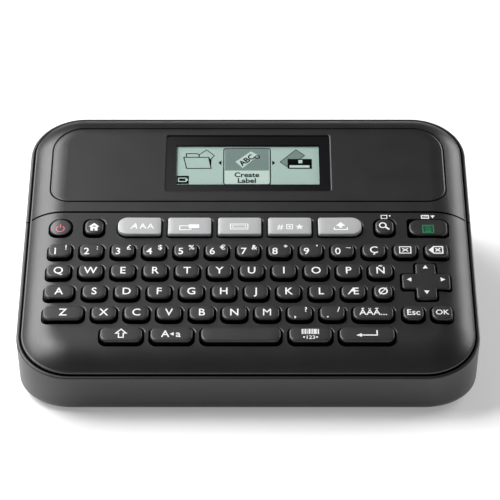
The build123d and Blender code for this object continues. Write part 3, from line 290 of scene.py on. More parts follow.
FINE = dict(rough=0.36, grain=4200, depth=0.00002, IOR=1.6)
PAINT = dict(rough=0.5, grain=9000, depth=0.000004)
CASE = moulded("case_black", DARK, 0.37, IOR=1.6)
# The shell's colour carries a line of painted shade along the seam between deck and display.
SHELL = moulded("shell_black", DARK, 0.37, painted_shade=seam, IOR=1.6)
# Painted shadow: black, with Metallic 1 so that it has no gloss, for shadow lines in gaps and grooves.
PAINTED_SHADOW = moulded("painted_shadow_black", BLACK, 0.6, Metallic=1.0)
# Key colours go black down their sides: painted shade on the flanks of the caps, the pad and the silver keys.
KEY = moulded("key_black", (0.020, 0.020, 0.0205), painted_shade=flank_shade(KEY_TOP), **FINE)
LOW = moulded("low_key_black", (0.018, 0.018, 0.0185), painted_shade=flank_shade(LOW_TOP), **FINE)
PAD = moulded("pad_black", (0.016, 0.016, 0.0165), painted_shade=flank_shade(PAD_TOP), **FINE)
# The power key's colour goes black outside an ellipse on its top: a painted ring of shade round the key.
POWER = moulded("power_black", (0.03, 0.03, 0.0305), painted_shade=outside(-78.3, 73.4, 4.1, 4.2), **FINE)
SILVER = moulded("key_silver", (0.47, 0.475, 0.48), 0.42, grain=6000, depth=0.00001, spread=0.03,
                 painted_shade=flank_shade(KEY_TOP - 0.7), Metallic=0.25)
RUBBER = moulded("rubber_black", (0.02, 0.02, 0.02), 0.72, grain=1800, depth=0.00006)
CHASSIS = moulded("chassis_grey", (0.045, 0.045, 0.048), 0.5)
CASSETTE = moulded("cassette_grey", (0.16, 0.16, 0.165), 0.45, spread=0.05)
ACETAL = moulded("gear_acetal", (0.72, 0.70, 0.64), 0.35, spread=0.03)
SOCKET = moulded("socket_black", (0.012, 0.012, 0.012), 0.4)
LEGEND = moulded("legend_white", (0.86, 0.86, 0.86), spread=0.02, **PAINT)
FAINT = moulded("legend_on_silver", (0.92, 0.92, 0.92), spread=0.02, **PAINT)
RED = moulded("legend_red", (0.62, 0.13, 0.18), spread=0.05, **PAINT)
GREEN = moulded("legend_green", (0.003, 0.2, 0.075), spread=0.05, **PAINT)
RAISED = moulded("case_black_raised", (0.017, 0.017, 0.018), 0.42)
print("plastics", len(bpy.data.materials))

# %% [markdown]
# ## Metal, boards and cells
# Sheet steel keeps the fine lines of its rolling, all in one direction, so its noise is stretched by a
# Mapping node. A circuit board is green lacquer over copper tracks, which show as slightly lighter
# bands. A cell is a printed sleeve with a bright end.

# %% Metals and boards
ROLLING = (40.0, 2500.0, 2500.0)


def rolled(name, colour, rough):
    """Metal with fine lines along one direction: noise squeezed across it."""
    material, wire, shader = finish(name, Metallic=1.0)
    lines = wire.add("ShaderNodeMapping", Vector=wire.place(), Scale=ROLLING).noise(1.0)
    wire.put(shader.inputs["Base Color"], lines.blend(shade(colour, 0.88), shade(colour, 1.06)))
    wire.put(shader.inputs["Roughness"], rough - 0.06 + lines * 0.12)
    lines.emboss(shader, 0.3, 0.00001)
    return material


def lacquered_board():
    """Green board: a wave pattern squared off gives the tracks, which are a little lighter."""
    material, wire, shader = finish("board_green", Roughness=0.35)
    wave = wire.add("ShaderNodeTexWave", {"bands_direction": "X"}, out=1, Vector=wire.place(), Scale=120.0,
                    Distortion=6.0, Detail=1.0)
    track = wave > 0.62
    wire.put(shader.inputs["Base Color"], track.blend((0.012, 0.10, 0.045, 1), (0.03, 0.17, 0.08, 1)))
    track.emboss(shader, 0.4, 0.00003)
    return material


def printed_cell():
    """Cell sleeve: dark, with a copper-coloured band from 43 to 52 mm on both sides of the middle."""
    material, wire, shader = finish("cell_sleeve", Roughness=0.3, Metallic=0.4)
    place = wire.place()
    along = place.part(0).size()
    band = (along > 0.043) * (along < 0.052)
    wire.put(shader.inputs["Base Color"], band.blend((0.03, 0.035, 0.045, 1), (0.55, 0.33, 0.14, 1)))
    place.noise(400.0).emboss(shader, 0.2, 0.00002)
    return material


STEEL = rolled("steel_sheet", (0.55, 0.55, 0.56), 0.32)
ALUMINIUM = rolled("aluminium_plate", (0.66, 0.67, 0.69), 0.36)
BOARD = lacquered_board()
CELL = printed_cell()
print("metals and boards", STEEL.name, ALUMINIUM.name, BOARD.name, CELL.name)

# %% [markdown]
# ## Window and screen
# The window over the screen is one glossy pane, painted black on its underside except for a clear
# rectangle. A mask on Object coordinates sets its Alpha: opaque black round the rectangle, nearly clear
# inside it. The screen under it is the pale grey-green of a plain liquid crystal, with faint pixels.

# %% Window and screen finishes
SCREEN = dict(x0=-30.9, x1=30.4, q0=99.4, q1=122.6)
PIXELS_PER_MM, PIXEL_GAP = 3.0, 0.12


def inside(across, up, x0, x1, q0, q1):
    """1 inside a rectangle on the slope, 0 outside it."""
    return (across > x0) * (across < x1) * (up > q0) * (up < q1)


def pane_finish():
    """Glossy pane, black outside the screen's rectangle and nearly clear inside."""
    material, wire, shader = finish("pane_black", Base_Color=(0.004, 0.004, 0.005, 1))
    place = wire.place()
    across, up, _ = slope_coordinates(place)
    wire.put(shader.inputs["Alpha"], 1.0 - inside(across, up, **SCREEN) * 0.95)
    wire.put(shader.inputs["Roughness"], 0.1 + place.noise(700.0, 3.0) * 0.06)
    return material


def screen_finish():
    """Pale grey-green glass with a faint grid of pixels, each about a third of a millimetre."""
    material, wire, shader = finish("screen_green", Roughness=0.45)
    across, up, _ = slope_coordinates(wire.place())
    gaps = [wire.maths("FRACT", along * PIXELS_PER_MM) < PIXEL_GAP for along in (across, up)]
    grid = wire.maths("MAXIMUM", *gaps)
    wire.put(shader.inputs["Base Color"], (grid * 0.5).blend((0.40, 0.54, 0.49, 1), (0.34, 0.47, 0.43, 1)))
    return material


def clear_window():
    """Clear moulded pane of the tape door: mostly see-through, with slow waves in its gloss."""
    material, wire, shader = finish("window_clear", Base_Color=(0.5, 0.53, 0.55, 1), Roughness=0.08,
                                    Alpha=0.3)
    wire.place().noise(60.0).emboss(shader, 0.3, 0.0002)
    return material


PANE, LCD, WINDOW = pane_finish(), screen_finish(), clear_window()
CRYSTAL = dict(rough=0.5, grain=3000, depth=0.000004)
INK = moulded("screen_ink", (0.004, 0.006, 0.0055), Metallic=1.0, **CRYSTAL)
TONE = moulded("screen_tone", (0.17, 0.24, 0.22), **CRYSTAL)
PALE = moulded("screen_pale", (0.52, 0.66, 0.60), **CRYSTAL)
print("panes", PANE.name, LCD.name, WINDOW.name)

# %% [markdown]
# ## Finishes on the CAD parts
# A CAD node that already has its right shape only needs a finish. Each node's material slot is filled
# by name.

# %% Dress the nodes
DRESS = {
    CASE: "lower_case rear_case display_panel tape_cover battery_cover",
    SHELL: "keyboard_deck display_housing", PANE: "display_lens", WINDOW: "tape_window", LCD: "lcd_module",
    RUBBER: "keypad_mat rubber_feet platen_roller pad_pivot", BOARD: "keypad_board main_board",
    CHASSIS: "tape_bay gear_plate", CASSETTE: "tape_cassette",
    ACETAL: "ribbon_spindle reduction_gear motor_pinion",
    STEEL: "cover_hinge_pin cutter_frame cutter_blade drive_motor usb_port case_screws battery_contacts",
    ALUMINIUM: "print_head", SOCKET: "dc_jack", CELL: "battery_cells",
}


def dress(piece, material):
    """Gives a piece one finish."""
    piece.data.materials.clear()
    piece.data.materials.append(material)


for material, names in DRESS.items():
    for name in names.split():
        dress(nodes[name], material)
print("dressed", sum(len(names.split()) for names in DRESS.values()), "nodes")

# %% [markdown]
# ## Making a mesh from arrays
# Every new piece below is worked out as whole arrays of points. One helper puts points and faces into a
# mesh, gives it a finish and a material slot, and lets it ride on the body that carries it.

# %% Pieces from arrays


def piece(name, points, faces, material, body, slot, smooth=True):
    """An object at the origin whose mesh has these points, in metres, and these faces."""
    mesh = bpy.data.meshes.new(name)
    mesh.from_pydata(np.asarray(points).tolist(), [], faces)
    mesh.polygons.foreach_set("use_smooth", np.full(len(mesh.polygons), smooth))
    mesh.update()
    made = bpy.data.objects.new(name, mesh)
    bpy.context.scene.collection.objects.link(made)
    dress(made, material)
    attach(made, body)
    return made


def tube_faces(rings, around):
    """Quads between closed rings of points, and one face over the last ring and the first."""
    index = np.arange(rings * around).reshape(rings, around)
    after = np.roll(index, -1, axis=1)
    quads = np.stack([index[:-1], after[:-1], after[1:], index[1:]], -1).reshape(-1, 4)
    return quads.tolist() + [index[-1].tolist(), index[0][::-1].tolist()]


def sheet_faces(rows, columns):
    """Quads between open rows of points."""
    index = np.arange(rows * columns).reshape(rows, columns)
    return np.stack([index[1:, :-1], index[1:, 1:], index[:-1, 1:], index[:-1, :-1]], -1).reshape(-1, 4)


print("helpers ready")

# %% [markdown]
# ## Key caps
# A real cap stands in its hole with a fine gap. Its edges are soft, its front edge is the softest, and its
# top is slightly crowned, which is what makes each key catch a line of light on the left. CAD has the
# same caps with a small fillet. Here each cap is a profile carried round its outline: the rings rise from
# the base, roll over the edge and close on the top. The four dark caps of the function row are lower than
# the rest, and the power key's follows the crown of the deck.

# %% Outline and crowns
CROWN, SMALLEST_RADIUS = 0.16, 0.15
CROWN_RISE, CROWN_RADIUS = 6.5, 20.5
FLAT_HALF, FLAT_LENGTH, FLAT_ROUND = 77.6, 56.95, 6.6


def outline(key, inset, steps=8):
    """Rounded rectangle: each corner's centre plus its radius times (cos, sin), a quarter turn each."""
    x, q, width, depth, radii = key
    radius = np.clip(np.array(radii) - inset, SMALLEST_RADIUS, min(width, depth) / 2 - inset)
    left, right, front, rear = x + inset, x + width - inset, q + inset, q + depth - inset
    cx = np.where([True, False, False, True], left + radius, right - radius)
    cq = np.where([True, True, False, False], front + radius, rear - radius)
    turn = np.radians([180, 270, 0, 90])[:, None] + np.linspace(0, np.pi / 2, steps)
    rim = radius[:, None]
    return np.stack([cx[:, None] + rim * np.cos(turn), cq[:, None] + rim * np.sin(turn)], -1).reshape(-1, 2)


def crowned(points, key):
    """How far the top lies under its middle: the squares of the distances across and up, added."""
    x, q, width, depth, _ = key
    across = (points[..., 0] - x - width / 2) / (width / 2)
    up = (points[..., 1] - q - depth / 2) / (depth / 2)
    return CROWN * (across ** 2 + up ** 2)


def crown_level(points):
    """Height of the crowned top: a circle of the crown's radius over the distance outside its flat middle."""
    across = np.abs(points[..., 0]) - FLAT_HALF + FLAT_ROUND
    up = np.abs(points[..., 1] - SLAB_LENGTH / 2) - FLAT_LENGTH + FLAT_ROUND
    beyond = np.clip(np.hypot(np.clip(across, 0, None), np.clip(up, 0, None)) - FLAT_ROUND, 0, None)
    return CROWN_RISE - CROWN_RADIUS + np.sqrt(CROWN_RADIUS ** 2 - beyond ** 2)


print("the top is", CROWN_RISE, "mm high in the middle")

# %% Profile of a cap
KEY_GAP, KEY_BASE, SUNK, ROUNDER = 0.4, 2.0, 0.9, 1.3
WALL_DROP, EDGE_DROP, EDGE_INSET = 2.4, 0.6, 0.55
LEAN_START, LEAN_ROLL = 0.45, 0.5


def cap(key, soft, top, sunk):
    """Rings of a cap: base, wall, a quarter round that leans back at the front, and the crowned top.

    A sunk cap stays near the height of the deck and follows its crown.
    """
    x, q, width, depth, radii = key
    roll = np.linspace(0, np.pi / 2, 7)
    inset = np.concatenate([[0, 0.05], soft * (EDGE_INSET + EDGE_INSET * (1 - np.cos(roll)))]) + KEY_GAP
    height = np.concatenate([[KEY_BASE, top - WALL_DROP], top - EDGE_DROP + EDGE_DROP * np.sin(roll)])
    lean = np.concatenate([[0, 0], soft ** 2 * (LEAN_START + LEAN_ROLL * (1 - np.cos(roll)))])
    rounder = ROUNDER * soft * (inset - KEY_GAP)
    flat = np.stack([outline((x, q, width, depth, np.array(radii) + r), d) for r, d in zip(rounder, inset)])
    ahead = np.clip((q + depth / 2 - flat[..., 1]) / (depth / 2), 0, 1) ** 4
    flat[..., 1] += lean[:, None] * ahead
    middle = np.array([x + width / 2, q + depth / 2])
    inner = middle + (flat[-1] - middle) * np.array([0.75, 0.45, 0.15])[:, None, None]
    flat = np.concatenate([flat, inner])
    above_wall = np.arange(len(flat))[:, None] > 1
    level = np.concatenate([height, [top] * 3])[:, None] - crowned(flat, key) * above_wall
    if sunk:
        level[1:] += crown_level(flat[1:]) + SUNK - top
    return np.concatenate([flat, level[..., None]], -1)


print("a cap stands", KEY_TOP - CROWN_RISE, "mm over the deck")

# %% [markdown]
# ## Places of the keys
# Letters and digits stand in five rows with even steps, and the function keys have a row of their own. A
# key is its left edge, front edge, width, depth and four corner radii, as in CAD. One table gives each CAD
# node its keys, and another says how soft the edge is, how high the top, and which finish and material
# slot it has.

# %% Tables of keys
FIRST_ROW, ROW_PITCH, KEY_DEPTH, LETTER_RADII = 9.8, 11.3, 9.2, (3.2, 3.2, 2.4, 2.4)
FUNCTION_ROW, FUNCTION_DEPTH, SILVER_WIDTH = 68.0, 10.8, 19.3


def letter_key(x, row, width):
    """A key of the letter rows, counted from the front."""
    return x, FIRST_ROW + row * ROW_PITCH, width, KEY_DEPTH, LETTER_RADII


def run(row, start, pitch, width, count):
    """Equal keys of one row: the first one's left edge plus a whole number of steps."""
    return [letter_key(start + n * pitch, row, width) for n in range(count)]


def function_key(x, width, left, right):
    """A key of the function row, with the radii of its left and right corners."""
    return x, FUNCTION_ROW, width, FUNCTION_DEPTH, (left, right, right, left)


KEYS = {
    "number_row_keys": run(4, -83.45, 12.98, 11.2, 11),
    "top_row_keys": run(3, -83.65, 13.22, 11.55, 11),
    "middle_row_keys": [letter_key(-83.85, 2, 13.6)] + run(2, -68.4, 13.2, 11.4, 9)
    + [letter_key(50.4, 2, 9.2)],
    "lower_row_keys": [letter_key(-83.85, 1, 18.0)] + run(1, -64.2, 13.2, 11.7, 8),
    "shift_key": [letter_key(-60.3, 0, 18.7)], "caps_key": [letter_key(-40.1, 0, 18.8)],
    "space_key": [letter_key(-19.75, 0, 33.75)], "barcode_key": [letter_key(15.6, 0, 18.8)],
    "enter_key": [letter_key(35.85, 0, 23.8)], "accent_key": [letter_key(41.6, 1, 18.0)],
    "escape_key": [letter_key(61.75, 1, 10.1)], "ok_key": [letter_key(73.45, 1, 10.0)],
    "clear_key": [letter_key(59.33, 4, 11.2)], "backspace_key": [letter_key(72.31, 4, 11.2)],
    "power_key": [function_key(-83.5, 10.4, 4.4, 4.4)], "home_key": [function_key(-69.1, 9.6, 3.2, 3.2)],
    "font_key": [function_key(-55.0, SILVER_WIDTH, 4.4, 1.4)],
    "layout_key": [function_key(-34.1, SILVER_WIDTH, 1.4, 1.4)],
    "frame_key": [function_key(-13.2, SILVER_WIDTH, 1.4, 1.4)],
    "symbol_key": [function_key(7.7, SILVER_WIDTH, 1.4, 1.4)],
    "file_key": [function_key(28.6, SILVER_WIDTH, 1.4, 4.4)],
    "search_key": [function_key(52.1, 9.6, 3.2, 3.2)], "print_key": [function_key(66.3, 17.7, 4.0, 3.2)],
}
SILVER_KEYS = "font_key layout_key frame_key symbol_key file_key".split()
PLAIN = (1.0, KEY_TOP, KEY, "key_plastic")
STYLES = {node: (0.5, KEY_TOP, SILVER, "silver_key") for node in SILVER_KEYS}
STYLES |= {node: (1.2, LOW_TOP, LOW, "key_plastic") for node in ("home_key", "search_key")}
STYLES["print_key"] = (1.0, PAD_TOP, PAD, "key_plastic")
STYLES["power_key"] = (0.5, KEY_TOP, POWER, "key_plastic")
carrier = {node: body for body, members in frame["record"]["behaviour"]["bodies"].items() for node in members}
print("keys", sum(len(keys) for keys in KEYS.values()), "in", len(KEYS), "nodes")

# %% Cap pieces


def cap_piece(node, keys):
    """All the caps of one CAD node as one mesh."""
    soft, top, material, slot = STYLES.get(node, PLAIN)
    rings = [cap(key, soft, top, material is POWER) for key in keys]
    faces, around = [], rings[0].shape[1]
    for n, ring in enumerate(rings):
        shift = n * ring.shape[0] * around
        faces += [[v + shift for v in face] for face in tube_faces(ring.shape[0], around)]
    points = TOP.place(np.concatenate([ring.reshape(-1, 3) for ring in rings]))
    made = piece(node + "_caps", points, faces, material, carrier[node], slot)
    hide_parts(node)


for node, keys in KEYS.items():
    cap_piece(node, keys)

# %% [markdown]
# ## Printed marks
# Legends are thin ink. They could be painted with an image, but as flat meshes they stay sharp at any
# size and need no picture file. A sheet of marks gathers filled shapes, lines of a given width and words
# in Blender's own font, then lays them a hair above the surface that carries them.

# %% Words as meshes


def word_mesh(words, bold):
    """Points and faces of words in Blender's own font, one unit high, centred."""
    curve = bpy.data.curves.new("words", "FONT")
    curve.body, curve.align_x, curve.offset, curve.resolution_u = words, "CENTER", bold, 3
    holder = bpy.data.objects.new("words", curve)
    bpy.context.scene.collection.objects.link(holder)
    mesh = bpy.data.meshes.new_from_object(holder.evaluated_get(bpy.context.evaluated_depsgraph_get()))
    points = np.empty(len(mesh.vertices) * 3)
    mesh.vertices.foreach_get("co", points)
    faces = [list(face.vertices) for face in mesh.polygons]
    bpy.data.objects.remove(holder)
    bpy.data.meshes.remove(mesh)
    bpy.data.curves.remove(curve)
    return points.reshape(-1, 3)[:, :2], faces


CAPITAL = np.ptp(word_mesh("H", 0.0)[0][:, 1])
print("capital height", round(CAPITAL, 3))

# %% A sheet of marks
ARC_POINTS, DISC_POINTS, SHARPEST_TURN = 25, 17, 0.6


class Marks:
    """Flat shapes on a plane, in millimetres."""

    def __init__(self):
        self.points, self.faces = np.zeros((0, 2)), []

    def take(self, points, faces):
        """Adds points and faces to the sheet."""
        self.faces += [[v + len(self.points) for v in face] for face in faces]
        self.points = np.concatenate([self.points, np.asarray(points, float)])
        return self

    def fill(self, *loop):
        """One face over a loop of points."""
        return self.take(loop, [list(range(len(loop)))])

    def bar(self, x, y, width, height):
        """A filled rectangle round its middle."""
        a, b = width / 2, height / 2
        return self.fill((x - a, y - b), (x + a, y - b), (x + a, y + b), (x - a, y + b))

    def line(self, path, width, closed=False):
        """A ribbon along a path: every point is moved to both sides along the mean of its edges' normals."""
        path = np.asarray(path, float)
        ahead = np.roll(path, -1, 0) - path
        if not closed:
            ahead[-1] = ahead[-2]
        ahead /= np.linalg.norm(ahead, axis=1, keepdims=True)
        behind = np.roll(ahead, 1, 0)
        if not closed:
            behind[0] = ahead[0]
        normal = np.stack([-ahead[:, 1] - behind[:, 1], ahead[:, 0] + behind[:, 0]], -1)
        normal *= width / np.maximum((normal ** 2).sum(1, keepdims=True), SHARPEST_TURN)
        count = len(path)
        n = np.arange(count if closed else count - 1)
        m = (n + 1) % count
        quads = np.stack([n, m, m + count, n + count], -1)
        return self.take(np.concatenate([path + normal, path - normal]), quads.tolist())

    def box(self, x, y, width, height, stroke):
        """The outline of a rectangle round its middle."""
        a, b = width / 2, height / 2
        return self.line([(x - a, y - b), (x + a, y - b), (x + a, y + b), (x - a, y + b)], stroke, True)

    def arc(self, x, y, radius, stroke, start=0.0, end=360.0):
        """A line along part of a circle: the middle plus the radius times (cos, sin)."""
        closed = end - start >= 360
        turn = np.radians(np.linspace(start, end, ARC_POINTS))[:-1 if closed else None]
        return self.line(np.stack([x + radius * np.cos(turn), y + radius * np.sin(turn)], -1), stroke, closed)

    def disc(self, x, y, radius):
        """A filled circle."""
        turn = np.linspace(0, 2 * np.pi, DISC_POINTS)[:-1]
        return self.fill(*np.stack([x + radius * np.cos(turn), y + radius * np.sin(turn)], -1))

    def word(self, words, x, y, height, bold=0.01, wide=1.0, slant=0.0, turn=0.0):
        """Words of a given capital height. The font's M has such short edges that it can't be made bolder."""
        points, faces = word_mesh(words, 0.0 if "M" in words else bold)
        points = (points - (0, CAPITAL / 2)) * (height / CAPITAL) * (wide, 1)
        points[:, 0] += slant * points[:, 1]
        c, s = math.cos(math.radians(turn)), math.sin(math.radians(turn))
        return self.take(points @ np.array([[c, s], [-s, c]]) + (x, y), faces)

    def lay(self, name, plane, height, material, body, slot, keys=(), over=None):
        """Puts the marks on a plane or a surface. Each point drops with the crown of the key under it."""
        level = np.full(len(self.points), height, float) + (over(self.points) if over else 0)
        for key in keys:
            x, q, width, depth, _ = key
            on = (np.abs(self.points - (x + width / 2, q + depth / 2)) < (width / 2, depth / 2)).all(1)
            level[on] -= crowned(self.points[on], key)
        points = plane.place(np.column_stack([self.points, level]))
        piece(name, points, self.faces, material, body, slot, smooth=False)


print("marks ready")

# %% [markdown]
# ## Legends on the letter and digit keys
# A letter sits in the middle of its cap. A digit sits low on the left, with a small sign high on the
# right. Each row of legends rides with its row of caps.

# %% Letters and digits
INK_RISE = 0.03
LETTER_HEIGHT, DIGIT_HEIGHT, SMALL_HEIGHT = 3.5, 3.4, 2.5
DIGIT_ASIDE, DIGIT_DOWN, POINT_DOWN = 1.9, 0.6, 0.9
SMALL_ASIDE, SMALL_UP, SMALL_BOLD = 2.5, 1.5, 0.012


def middle(key):
    """The middle of a key: its corner plus half its width and depth."""
    return key[0] + key[2] / 2, key[1] + key[3] / 2


def letters(node, signs, height=LETTER_HEIGHT):
    """The legends of one row: a word for each key, or a pair of a digit and a small sign."""
    marks = Marks()
    for key, legend in zip(KEYS[node], signs):
        x, q = middle(key)
        if isinstance(legend, tuple):
            digit, small = legend
            down = POINT_DOWN if digit in ",." else DIGIT_DOWN
            marks.word(digit, x - DIGIT_ASIDE, q - down, DIGIT_HEIGHT)
            marks.word(small, x + SMALL_ASIDE, q + SMALL_UP, SMALL_HEIGHT, bold=SMALL_BOLD)
        else:
            marks.word(legend, x, q + 0.1, height)
    marks.lay(node + "_legends", TOP, KEY_TOP + INK_RISE, LEGEND, carrier[node], "key_plastic", KEYS[node])


letters("number_row_keys", list(zip("1234567890", "!:£$%€&*'–")) + ["Ç"])
letters("top_row_keys", "QWERTYUIOPÑ")
letters("middle_row_keys", "ASDFGHJKLÆØ")
letters("lower_row_keys", list("ZXCVBNM") + [(",", "?"), (".", "/")])
letters("escape_key", ["Esc"], 2.9)
letters("ok_key", ["OK"], 2.5)
letters("accent_key", ["ÂÄÃ..."], 2.9)
print("letters laid")

# %% [markdown]
# ## Signs on the other keys
# Arrows, a house, a lens, a bar code and the like are drawn from lines and filled shapes, in the same
# places as on the real keys. The power sign is red, the print sign green, and the signs on the silver
# keys are pale.

# %% Signs on the letter rows


def sign(node, marks, material=LEGEND):
    """Lays marks on a cap, at the height of its top or, on the sunk one, over the crown of the deck."""
    _, top, plastic, _ = STYLES.get(node, PLAIN)
    height, over = (SUNK, crown_level) if plastic is POWER else (top, None)
    marks.lay(node + "_sign", TOP, height + INK_RISE, material, carrier[node], "key_plastic", KEYS[node],
              over)


x, q = middle(KEYS["shift_key"][0])
sign("shift_key", Marks().line([(x - 0.95, q - 1.9), (x + 0.95, q - 1.9), (x + 0.95, q + 0.3),
                                (x + 2.1, q + 0.3), (x, q + 2.4), (x - 2.1, q + 0.3),
                                (x - 0.95, q + 0.3)], 0.5, True))
x, q = middle(KEYS["caps_key"][0])
sign("caps_key", Marks().word("A", x - 2.5, q, 3.3).word("a", x + 2.7, q, 3.3)
     .fill((x - 0.7, q - 0.1), (x + 0.9, q - 1.0), (x + 0.9, q + 0.8)))
x, q = middle(KEYS["barcode_key"][0])
bars = Marks()
for left, width in ((-3.5, 0.45), (-2.75, 0.3), (-2.2, 0.45), (-1.45, 0.3), (-0.75, 0.7), (0.15, 0.3),
                    (0.75, 0.45), (1.45, 0.75), (2.35, 0.3), (2.95, 0.5)):
    bars.bar(x + left + width / 2, q + 1.2, width, 2.7)
bars.word("123", x, q - 1.8, 1.7, wide=1.1).disc(x - 2.6, q - 1.7, 0.4).disc(x + 2.6, q - 1.7, 0.4)
sign("barcode_key", bars)
x, q = middle(KEYS["enter_key"][0])
sign("enter_key", Marks().line([(x + 4.0, q + 1.9), (x + 4.0, q - 0.7), (x - 2.6, q - 0.7)], 0.55)
     .fill((x - 4.4, q - 0.7), (x - 2.2, q - 1.6), (x - 2.2, q + 0.2)))
x, q = middle(KEYS["clear_key"][0])
sign("clear_key", Marks().box(x, q, 4.6, 3.5, 0.45).line([(x - 1.2, q - 0.9), (x + 1.2, q + 0.9)], 0.45)
     .line([(x - 1.2, q + 0.9), (x + 1.2, q - 0.9)], 0.45))
x, q = middle(KEYS["backspace_key"][0])
sign("backspace_key", Marks().line([(x - 2.9, q), (x - 1.1, q + 1.8), (x + 2.5, q + 1.8), (x + 2.5, q - 1.8),
                                    (x - 1.1, q - 1.8)], 0.6, True)
     .fill((x - 2.6, q), (x - 1.2, q - 1.4), (x - 1.2, q + 1.4))
     .line([(x - 0.5, q - 0.9), (x + 1.5, q + 0.9)], 0.55)
     .line([(x - 0.5, q + 0.9), (x + 1.5, q - 0.9)], 0.55))
print("signs on the letter rows laid")

# %% Signs on the function row
sign("power_key", Marks().arc(-78.4, 72.5, 1.65, 0.42, 125, 415).bar(-78.4, 74.0, 0.42, 1.8), RED)
sign("home_key", Marks().fill((-66.6, 73.1), (-62.0, 73.1), (-64.3, 75.2)).bar(-65.2, 72.0, 1.2, 2.2)
     .bar(-63.4, 72.0, 1.2, 2.2).bar(-64.3, 72.6, 1.0, 1.0))
sign("font_key", Marks().word("A", -47.3, 73.0, 2.9, slant=0.25).word("A", -43.9, 73.0, 2.9, slant=-0.05)
     .word("A", -40.7, 73.0, 2.9, bold=0.0), FAINT)
sign("layout_key", Marks().box(-26.2, 72.0, 4.6, 2.2, 0.4).bar(-22.6, 72.9, 4.4, 2.0), FAINT)
sign("frame_key", Marks().box(-3.7, 72.7, 7.2, 2.9, 0.35).box(-3.7, 72.7, 5.4, 1.5, 0.25), FAINT)
turn = np.radians(np.arange(10) * 36 + 90)
far = np.where(np.arange(10) % 2, 0.75, 1.8)
sign("symbol_key", Marks().word("#", 13.4, 72.6, 2.8).box(17.3, 72.6, 2.4, 2.4, 0.4).disc(17.3, 72.6, 0.55)
     .fill(*np.stack([21.4 + far * np.cos(turn), 72.5 + far * np.sin(turn)], -1)), FAINT)
sign("file_key", Marks().fill((36.6, 73.1), (40.6, 73.1), (38.6, 75.3)).bar(38.6, 72.6, 1.3, 1.2)
     .line([(35.9, 72.3), (35.9, 71.0), (41.3, 71.0), (41.3, 72.3)], 0.5), FAINT)
sign("search_key", Marks().arc(56.2, 73.9, 1.35, 0.55).line([(57.2, 73.0), (58.9, 71.6)], 0.8))
sign("print_key", Marks().box(75.1, 72.3, 4.4, 4.0, 0.45).bar(75.1, 73.4, 2.8, 0.4).bar(75.1, 72.5, 2.8, 0.4)
     .bar(75.1, 71.6, 2.8, 0.4).bar(75.1, 70.9, 2.8, 0.4), GREEN)
print("signs on the function row laid")

# %% [markdown]
# ## Pad and small marks on the deck
# Four triangles show the pad's directions. Above two function keys the deck carries a tiny sign for the
# key's second use.

# %% Pad and deck marks
PAD_X, PAD_Q, PAD_HALF, PAD_ARM, PAD_GAP = 72.85, 43.5, 10.7, 5.0, 0.5
PAD_CORNER, PAD_NOTCH, PAD_BASE, PAD_WALL = 1.6, 0.5, 3.2, 1.6
PAD_INSET, PAD_DROP, PAD_LEAN = 0.45, 0.5, 0.9
ARROW_AWAY, ARROW_UP, ARROW_LENGTH, ARROW_HALF = 6.0, 0.7, 1.9, 1.1


def cross(inset):
    """A cross: two outer corners and an inner one of an arm, each an arc, then turned by quarter turns."""
    half, arm, corner = PAD_HALF - inset, PAD_ARM - inset, PAD_CORNER - inset / 3
    turn = np.linspace(0, np.pi / 2, 7)
    arcs = [((half - corner, corner - arm), corner, turn - np.pi / 2),
            ((half - corner, arm - corner), corner, turn),
            ((arm + PAD_NOTCH, arm + PAD_NOTCH), PAD_NOTCH, -turn - np.pi / 2)]
    one = np.concatenate([np.array(at) + far * np.stack([np.cos(t), np.sin(t)], -1) for at, far, t in arcs])
    quarter = np.array([[0, 1], [-1, 0]])
    return np.concatenate([one @ np.linalg.matrix_power(quarter, n) for n in range(4)])


roll = np.linspace(0, np.pi / 2, 6)
inset = np.concatenate([[0, 0.05], PAD_INSET + PAD_INSET * (1 - np.cos(roll))]) + PAD_GAP
rise = PAD_TOP - PAD_DROP + PAD_DROP * np.sin(roll)
height = np.concatenate([[PAD_BASE, PAD_TOP - PAD_WALL], rise, [PAD_TOP] * 2])
rings = np.stack([cross(d) for d in inset] + [cross(inset[-1]) * f for f in (0.6, 0.2)])
ahead = np.clip(-rings[..., 1] / PAD_HALF, 0, 1) ** 4
rings[..., 1] += ahead * np.interp(height, [PAD_TOP - PAD_WALL, PAD_TOP], [0, PAD_LEAN])[:, None]
points = np.concatenate([rings + (PAD_X, PAD_Q), np.repeat(height[:, None, None], rings.shape[1], 1)], -1)
pad = piece("arrow_pad_cap", TOP.place(points.reshape(-1, 3)), tube_faces(*rings.shape[:2]), PAD,
            carrier["arrow_pad"], "key_plastic")
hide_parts("arrow_pad")
arrows = Marks()
for ahead, side in (((0, 1), (1, 0)), ((0, -1), (-1, 0)), ((1, 0), (0, -1)), ((-1, 0), (0, 1))):
    ahead, side = np.array(ahead, float), np.array(side, float)
    root = np.array([PAD_X, PAD_Q + ARROW_UP]) + ahead * ARROW_AWAY
    arrows.fill(root + ahead * ARROW_LENGTH, root - side * ARROW_HALF, root + side * ARROW_HALF)
arrows.lay("pad_arrows", TOP, PAD_TOP + INK_RISE, LEGEND, carrier["arrow_pad"], "key_plastic")
deck = Marks().box(57.0, 80.0, 2.4, 1.8, 0.35).bar(59.4, 80.6, 0.5, 0.8)
deck.box(74.2, 80.0, 2.9, 1.6, 0.5).bar(74.2, 80.0, 1.6, 0.3)
deck.fill((76.5, 80.8), (78.3, 80.8), (77.4, 79.2))
deck.lay("deck_marks", TOP, CROWN_RISE + INK_RISE, LEGEND, "root", "case_plastic")
print("pad and deck marks laid")

# %% [markdown]
# ## The picture on the screen
# The screen shows a row of three pictures with the middle one chosen. They are flat shapes a hair above
# the screen's glass and under the pane: dark ink, a grey tone and a paler field, as a plain liquid
# crystal would show them.

